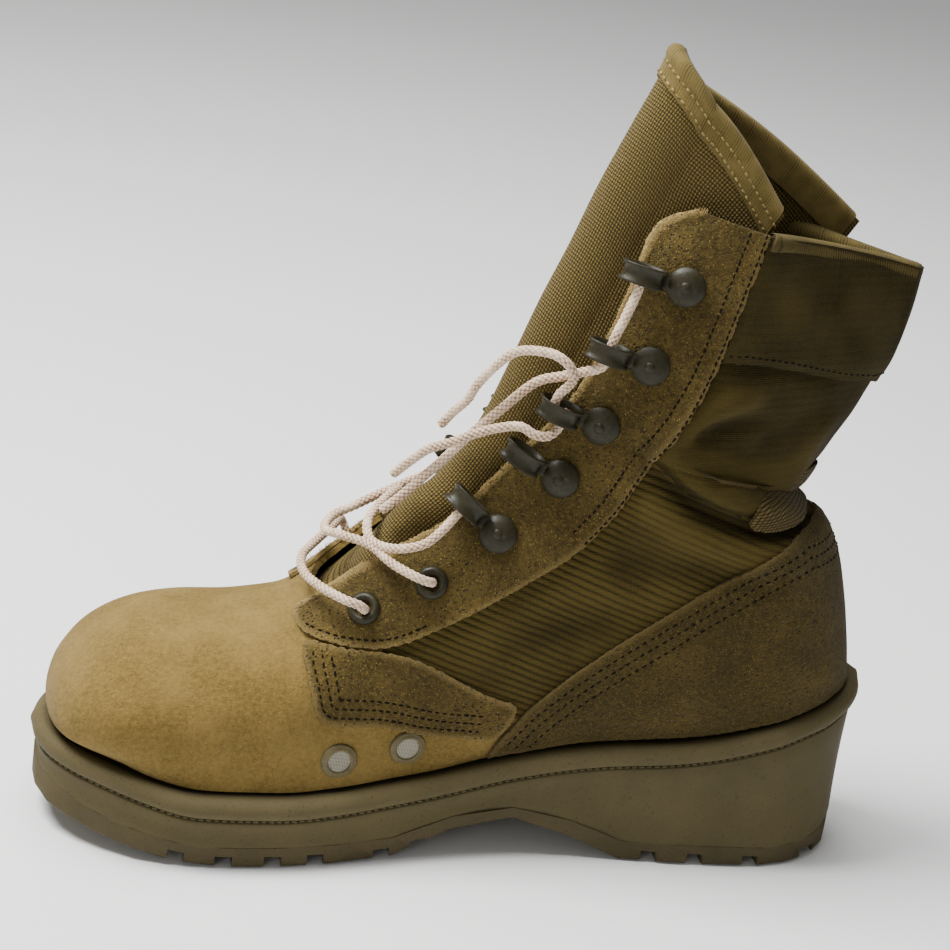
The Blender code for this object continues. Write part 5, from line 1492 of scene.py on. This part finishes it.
# Fittings
def make_fittings():
    rim, hole = EYELET_RADIUS, EYELET_HOLE
    eyelet = pattern_piece("eyelet pattern", [revolved([
        (hole, -0.0042), (hole, 0.0004), (hole + 0.0003, 0.0011), (hole + 0.0010, 0.0016),
        (hole + 0.0019, 0.0016), (rim - 0.0006, 0.0011), (rim - 0.0001, 0.0005), (rim, -0.0001),
        (rim - 0.0004, -0.0004), (hole + 0.0006, -0.0004), (hole + 0.0006, -0.0042),
    ], 40, closed=True)])
    base = HOOK_BASE_RADIUS
    ring_out, ring_in, half = 0.0046, 0.0034, 0.0034
    ring_points, ring_faces = revolved([
        (ring_out, -half), (ring_out + 0.0003, -half + 0.0004), (ring_out + 0.0001, -half + 0.0010),
        (ring_out - 0.0004, -half + 0.0018), (ring_out - 0.0006, 0.0), (ring_out - 0.0004, half - 0.0018),
        (ring_out + 0.0001, half - 0.0010), (ring_out + 0.0003, half - 0.0004), (ring_out, half),
        (ring_out - 0.0004, half - 0.0001), (ring_in + 0.0003, half - 0.0008), (ring_in, half - 0.0020),
        (ring_in, -half + 0.0020), (ring_in + 0.0003, -half + 0.0008), (ring_out - 0.0004, -half + 0.0001),
    ], 36, axis="Y", closed=True)
    ring_points = ring_points * (1.65, 1, 1) + (0.0145, 0, 0.0044)
    dome = revolved([
        (0.0, 0.0030), (base * 0.25, 0.0030), (base * 0.50, 0.0026), (base * 0.72, 0.0020),
        (base * 0.90, 0.0012), (base * 0.99, 0.0005), (base, 0.0001), (base * 0.96, -0.0003), (0.0, -0.0003),
    ], 32)
    arm_x, arm_y, arm_z = (0.0008, 0.0112), 0.0026, (0.0003, 0.0014)
    corners = [(x, y, z) for x in arm_x for y in (-arm_y, arm_y) for z in arm_z]
    arm = corners, [(0, 1, 3, 2), (4, 6, 7, 5), (0, 4, 5, 1), (2, 3, 7, 6), (0, 2, 6, 4), (1, 5, 7, 3)]
    rivet = revolved([
        (0.0, 0.0038), (0.0010, 0.0037), (0.0017, 0.0033), (0.0021, 0.0026), (0.0021, 0.0018), (0.0, 0.0018),
    ], 18)
    hook = pattern_piece("hook pattern", [(ring_points, ring_faces), dome, arm, rivet], 0.00025)
    vent_ring = pattern_piece("vent pattern", [revolved([
        (0.0039, 0.0004), (0.0042, 0.0011), (0.0046, 0.0013), (0.0051, 0.0011), (0.0054, 0.0008),
        (0.0059, 0.0008), (0.0063, 0.0006), (VENT_RADIUS, 0.0001), (VENT_RADIUS, -0.0004), (0.0039, -0.0004),
    ], 36, closed=True)])
    mesh_disc = pattern_piece("vent mesh pattern", [revolved([
        (0.0, 0.0007), (0.0022, 0.0007), (0.0041, 0.0006), (0.0041, -0.0003), (0.0, -0.0003),
    ], 24)])
    nodes = [f"eyelet_{word}_{n}" for word in ("inner", "outer") for n in range(1, len(EYELETS) + 1)]
    ride(set_out("rolled_eyelets", *EYELET_FRAMES, eyelet, METAL), "painted metal", *nodes)
    nodes = [f"hook_{word}_{n}" for word in ("inner", "outer") for n in range(1, len(HOOKS) + 1)]
    ride(set_out("speed_hooks", *HOOK_FRAMES, hook, METAL), "painted metal", *nodes)
    nodes = [f"vent_{n}" for n in range(1, len(VENTS) + 1)]
    ride(set_out("drain_vents", *VENT_FRAMES, vent_ring, VENT_METAL), "painted metal", *nodes)
    ride(set_out("vent_meshes", *VENT_FRAMES, mesh_disc, VENT_MESH), "painted metal")


# The lace: routes as shares of the sole's length from the heel, the ball width and the upper's height
LACE_RADIUS = 0.0015
LACE_CROSSINGS = {
    "from the second inner eyelet": [
        (0.557, -0.244, 0.419), (0.561, -0.284, 0.427), (0.568, -0.310, 0.433), (0.583, -0.310, 0.440),
        (0.607, -0.248, 0.446), (0.630, -0.148, 0.454), (0.657, -0.076, 0.452), (0.677, 0.010, 0.446),
        (0.667, 0.086, 0.454), (0.640, 0.114, 0.469), (0.603, 0.162, 0.487), (0.573, 0.210, 0.498),
        (0.553, 0.238, 0.507), (0.538, 0.245, 0.522), (0.526, 0.239, 0.541), (0.522, 0.237, 0.547),
    ],
    "from the first inner hook": [
        (0.524, -0.216, 0.544), (0.528, -0.217, 0.539), (0.538, -0.225, 0.523), (0.555, -0.251, 0.500),
        (0.573, -0.267, 0.482), (0.597, -0.248, 0.469), (0.617, -0.190, 0.460), (0.630, -0.124, 0.460),
        (0.630, -0.038, 0.473), (0.613, 0.057, 0.485), (0.593, 0.152, 0.490), (0.577, 0.248, 0.481),
        (0.565, 0.338, 0.465), (0.561, 0.395, 0.444), (0.559, 0.366, 0.428), (0.557, 0.333, 0.419),
    ],
}
LACE_BAR = [
    (0.631, -0.248, 0.370), (0.635, -0.284, 0.380), (0.643, -0.309, 0.390), (0.660, -0.290, 0.394),
    (0.682, -0.219, 0.396), (0.700, -0.105, 0.396), (0.700, 0.019, 0.400), (0.680, 0.133, 0.406),
    (0.660, 0.248, 0.408), (0.648, 0.352, 0.404), (0.642, 0.398, 0.391), (0.637, 0.370, 0.380),
    (0.634, 0.342, 0.370),
]
LACE_CORDS = {
    "lace_run": [
        (0.369, -0.262, 0.908), (0.370, -0.264, 0.902), (0.374, -0.266, 0.876), (0.383, -0.275, 0.842),
        (0.392, -0.278, 0.810), (0.396, -0.277, 0.786), (0.401, -0.273, 0.766), (0.417, -0.244, 0.753),
        (0.440, -0.217, 0.740), (0.468, -0.190, 0.723), (0.503, -0.165, 0.673), (0.533, -0.138, 0.627),
        (0.560, -0.124, 0.583), (0.597, -0.095, 0.525), (0.617, -0.076, 0.496),
    ],
    "lace_end_low": [
        (0.431, -0.241, 0.693), (0.432, -0.240, 0.688), (0.437, -0.238, 0.667), (0.449, -0.257, 0.656),
        (0.465, -0.267, 0.658), (0.483, -0.257, 0.667), (0.510, -0.238, 0.658), (0.533, -0.210, 0.642),
        (0.553, -0.176, 0.623), (0.575, -0.133, 0.604), (0.593, -0.095, 0.577), (0.608, -0.057, 0.550),
    ],
    "lace_end_high": [
        (0.447, -0.237, 0.693), (0.446, -0.238, 0.700), (0.442, -0.243, 0.717), (0.433, -0.261, 0.735),
        (0.432, -0.282, 0.752), (0.443, -0.286, 0.770), (0.462, -0.267, 0.779), (0.493, -0.229, 0.773),
        (0.513, -0.190, 0.746), (0.530, -0.148, 0.708), (0.537, -0.119, 0.681), (0.550, -0.090, 0.656),
        (0.560, -0.057, 0.631),
    ],
}


def lace_route(points, step):
    """A smooth curve through a route's points, with points an even step apart."""
    places = [(HEEL_CENTRE - s * SOLE_LENGTH, y * BALL_WIDTH, z * UPPER_HEIGHT) for s, y, z in points]
    points = np.array(places)
    whole = np.vstack([2 * points[0] - points[1], points, 2 * points[-1] - points[-2]])
    fine = []
    for before, here, ahead, beyond in zip(whole, whole[1:], whole[2:], whole[3:]):
        for u in np.linspace(0, 1, 24, endpoint=False):
            fine.append(0.5 * (
                2 * here + (ahead - before) * u + (2 * before - 5 * here + 4 * ahead - beyond) * u ** 2
                + (3 * here - before - 3 * ahead + beyond) * u ** 3
            ))
    return spaced(np.vstack([fine, points[-1]]), step)


def braided_lace(name, routes):
    """One or more lengths of lace as one piece."""
    lines = [lace_route(route, 0.00042) for route in routes]
    points, edges, base = [], [], 0
    for line in lines:
        points.append(line)
        edges += [(base + k, base + k + 1) for k in range(len(line) - 1)]
        base += len(line)
    mesh = bpy.data.meshes.new(name)
    mesh.from_pydata(np.vstack(points).tolist(), edges, [])
    start = bpy.data.objects.new(name, mesh)
    bpy.context.scene.collection.objects.link(start)
    return grown(name, start, BRAID, **{
        "Width": 2 * LACE_RADIUS, "Thickness": 2 * LACE_RADIUS * 0.94, "Strands": 5, "Pitch": 0.0021,
        "Relief": 0.00030, "Sides": 24, "Material": LACE_YARN,
    })


def make_laces():
    ride(braided_lace("braided_crossings", list(LACE_CROSSINGS.values())), "lace cord", "lace_crossings")
    ride(braided_lace("braided_bar", [LACE_BAR]), "lace cord", "lace_bar")
    for name, route in LACE_CORDS.items():
        piece = ride(braided_lace("braided_" + name, [route]), "lace cord", name)


# Stitches
def tree_of(obj):
    return BVHTree.FromObject(obj, bpy.context.evaluated_depsgraph_get())


def cast(tree, origin, direction):
    point, normal, _, _ = tree.ray_cast(Vector(origin), Vector(direction))
    return None if point is None else (np.array(point), np.array(normal))


def row_on(obj, line, side, pitch):
    """Where a row in side view lies on a piece: points, normals and directions along the row."""
    tree, found = tree_of(obj), []
    for x, z in spaced(line, pitch):
        hit = cast(tree, (x, side * 0.2, z), (0, -side, 0))
        if hit is not None:
            found.append(hit)
    return found


def inset_line(line, inset):
    """A line in side view moved sideways, to the left of its direction if the inset is above nought."""
    step = unit(np.gradient(line, axis=0))
    return line + inset * np.column_stack([-step[:, 1], step[:, 0]])


def round_heel(obj, near, far, pitch):
    """A row round the heel's back between two points, one on each side."""
    tree, found = tree_of(obj), []
    centre = np.array([min(near[0], far[0]) - 0.012, 0.0])
    first, last = (math.atan2(p[1], p[0] - centre[0]) for p in (near, far))
    count = max(int(abs(last - first) * 0.028 / pitch), 2)
    for share in np.linspace(0, 1, count + 1)[1:-1]:
        angle = first + (last - first) * share
        out = np.array([math.cos(angle), math.sin(angle)])
        z = near[2] + (far[2] - near[2]) * share
        hit = cast(tree, (*(centre + out * 0.12), z), (*-out, 0))
        if hit is not None:
            found.append(hit)
    return found


class Stitches:
    """Rows of stitches gathered for one piece."""

    def __init__(self):
        self.points, self.outward, self.along = [], [], []

    def add(self, hits):
        """Adds a row, whose stitches point along it."""
        if len(hits) < 3:
            return
        points, normals = (np.array(column) for column in zip(*hits))
        along = unit(np.gradient(points, axis=0))
        self.points.append(points)
        self.outward.append(normals)
        self.along.append(along)

    def gathered(self):
        return [np.vstack(column) for column in (self.points, self.outward, self.along)]

    def make(self, name, pattern, look, slot, seed):
        made = set_out(name, *self.gathered(), pattern, look, tilt=0.10, change=0.12, seed=seed)
        return ride(made, slot)


def tube_faces(sides, rows):
    """The faces of a tube of points, row after row, with its two caps."""
    faces = []
    for k in range(rows - 1):
        for i in range(sides):
            j = (i + 1) % sides
            faces.append((k * sides + i, k * sides + j, (k + 1) * sides + j, (k + 1) * sides + i))
    last = (rows - 1) * sides
    return faces + [tuple(range(sides))[::-1], tuple(range(last, last + sides))]


def stitch_pattern(name, length, width, height):
    """A stitch as a short rounded bar, in few faces."""
    turn = np.linspace(0, 2 * math.pi, 6, endpoint=False)
    rows = [(-1.0, 0.25), (-0.72, 0.85), (0.0, 1.0), (0.72, 0.85), (1.0, 0.25)]
    points = [
        (x * length / 2, width / 2 * fat * math.cos(a), height * fat * math.sin(a))
        for x, fat in rows for a in turn
    ]
    return pattern_piece(name, [(points, tube_faces(6, 5))])


def sew(layers, tongue_edge):
    """Every row of stitches on the boot."""
    dark, pale = Stitches(), Stitches()
    for word, side in (("inner", -1), ("outer", 1)):
        stay = layers["eyestay_" + word]
        dark.add(row_on(stay, inset_line(EYESTAY_LOWER_LINE[4:18], 0.0034), side, 0.0026))
        for inset in (0.0010, 0.0064):
            dark.add(row_on(stay, inset_line(BINDING_LINE[6:], inset), side, 0.0024))
        tab = layers["quarter_tab_" + word]
        for inset in (0.0030, 0.0062, 0.0094):
            dark.add(row_on(tab, inset_line(TAB_OUTLINE[31:-1], -inset), side, 0.0026))
    counter = layers["heel_counter"]
    for inset in (0.0040, 0.0076, 0.0116):
        rows = [row_on(counter, inset_line(COUNTER_LINE, -inset)[:-6], side, 0.0030) for side in (-1, 1)]
        rows = [[hit for hit in row if hit[0][0] < 0.022] for row in rows]
        wrap = round_heel(counter, rows[0][-1][0], rows[1][-1][0], 0.0030)
        dark.add(rows[0] + wrap + rows[1][::-1])
    cuff = layers["cuff"]
    foot = line_of([(0.268, 0.790), (0.240, 0.792), (0.180, 0.780), (0.110, 0.758), (0.060, 0.747)])
    rows = [row_on(cuff, foot + (0, 0.0022), side, 0.0026) for side in (-1, 1)]
    wrap = round_heel(cuff, rows[0][-1][0], rows[1][-1][0], 0.0026)
    dark.add(rows[0] + wrap + rows[1][::-1])
    points, outward, down = (column[::HEM_STITCH] for column in tongue_edge)
    for drop, lift in ((0.0052, 0.00125), (0.0094, 0.00125)):
        pale.add(list(zip(points + down * drop + outward * lift, outward)))
    stitch = stitch_pattern("stitch pattern", 0.0017, 0.0008, 0.00034)
    pale.make("pale_stitches", stitch, PALE_THREAD, "lace cord", 3)
    dark.make("dark_stitches", stitch, DARK_THREAD, "nylon", 4)
    lip = ring(0.0026, lambda x, y: ledge(x) - LIP_HEIGHT * 1.06)
    lip = spaced(np.vstack([lip, lip[:1]]), 0.0027)[:-1]
    out = unit(lip * (1, 1, 0) - (np.clip(lip[:, :1], -0.21, -0.005) * (1, 0, 0)))
    welt = Stitches()
    welt.add(list(zip(lip, out)))
    knob = stitch_pattern("welt stitch pattern", 0.0019, 0.0010, 0.0006)
    welt.make("welt_stitches", knob, FOAM, "moulded sole", 5)


def fray(layers):
    """Loose fibres along the raw edges of the eyestays."""
    turn = np.linspace(0, 2 * math.pi, 3, endpoint=False)
    rows = [(0.0, 1.0, 0.0), (0.5, 0.8, 0.18), (1.0, 0.25, 0.5)]
    length, radius = 0.0016, 0.00013
    points = [
        (x * length, radius * fat * math.cos(a), bend * length * 0.6 + radius * fat * math.sin(a))
        for x, fat, bend in rows for a in turn
    ]
    fibre = pattern_piece("fibre pattern", [(points, tube_faces(3, 3))])
    fringe = Stitches()
    for word, side in (("inner", -1), ("outer", 1)):
        stay = layers["eyestay_" + word]
        for inset in (0.0002, 0.0007, 0.0012):
            hits = row_on(stay, inset_line(THROAT_LINE, inset), side, 0.00045)
            if len(hits) < 3:
                continue
            base, normals = (np.array(column) for column in zip(*hits))
            run = unit(np.gradient(base, axis=0))
            away = unit(np.cross(run, normals))
            away = away * np.sign((away * (-1, 0, 0.4)).sum(1, keepdims=True))
            fringe.points.append(base - normals * 0.0004)
            fringe.outward.append(normals)
            fringe.along.append(away)
    made = set_out("raw_edge_fibres", *fringe.gathered(), fibre, RAW_FIBRE, tilt=0.75, change=0.55, seed=9)
    ride(made, "suede")


def dress_insole():
    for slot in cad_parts["insole"].material_slots:
        slot.material = LINING


# Floor, light and camera
def make_stage():
    bpy.ops.mesh.primitive_plane_add(size=14, location=(0, 0, -0.0004))
    ground = bpy.context.object
    ground.name = "pale_floor"
    look, tree, shader = new_look("pale floor", 0.9)
    here = object_place(tree)
    colour_in(tree, shader, tint(tree, noise(tree, here, 3, 2.0), srgb(226, 226, 225), srgb(232, 232, 231)))
    ground.data.materials.append(look)
    world = bpy.data.worlds.new("studio")
    world.use_nodes = True
    world.node_tree.nodes["Background"].inputs[0].default_value = (1.0, 1.0, 1.0, 1.0)
    world.node_tree.nodes["Background"].inputs[1].default_value = 0.32
    bpy.context.scene.world = world
    lamps = [
        ("key light", (-0.75, 0.05, 1.30), 0.60, 40.0),
        ("top light", (-0.30, 0.20, 1.60), 1.20, 26.0),
        ("fill light", (-0.80, -1.10, 0.45), 0.60, 2.5),
    ]
    for name, spot, size, power in lamps:
        lamp = bpy.data.lights.new(name, "AREA")
        lamp.shape = "DISK"
        lamp.size = size
        lamp.energy = power
        obj = bpy.data.objects.new(name, lamp)
        obj.location = spot
        obj.rotation_euler = (Vector((-0.08, 0, 0.12)) - Vector(spot)).to_track_quat("-Z", "Y").to_euler()
        bpy.context.scene.collection.objects.link(obj)


def make_camera():
    yaw, pitch, roll = (math.radians(angle) for angle in (10.0, 20.2, 7.7))
    forward = Vector((math.sin(yaw) * math.cos(pitch), math.cos(yaw) * math.cos(pitch), -math.sin(pitch)))
    level = Vector((math.cos(yaw), -math.sin(yaw), 0))
    upright = level.cross(forward)
    right = math.cos(roll) * level + math.sin(roll) * upright
    up = -math.sin(roll) * level + math.cos(roll) * upright
    lens = bpy.data.cameras.new("camera")
    lens.lens = 85.7
    lens.sensor_width = 36.0
    camera = bpy.data.objects.new("camera", lens)
    turn = Matrix((right, up, -forward)).transposed()
    camera.matrix_world = Matrix.Translation((-0.240, -0.732, 0.405)) @ turn.to_4x4()
    bpy.context.scene.collection.objects.link(camera)
    bpy.context.scene.camera = camera


make_camera()
make_laces()
make_midsole()
make_outsole()
make_shell()
LAYERS = make_layers()
make_collar_tape()
TONGUE_EDGE = make_tongue()
make_gusset()
make_heel_webbing()
make_fittings()
sew(LAYERS, TONGUE_EDGE)
fray(LAYERS)
dress_insole()
for pattern in PATTERN_PIECES:
    bpy.data.objects.remove(pattern, do_unlink=True)
make_stage()
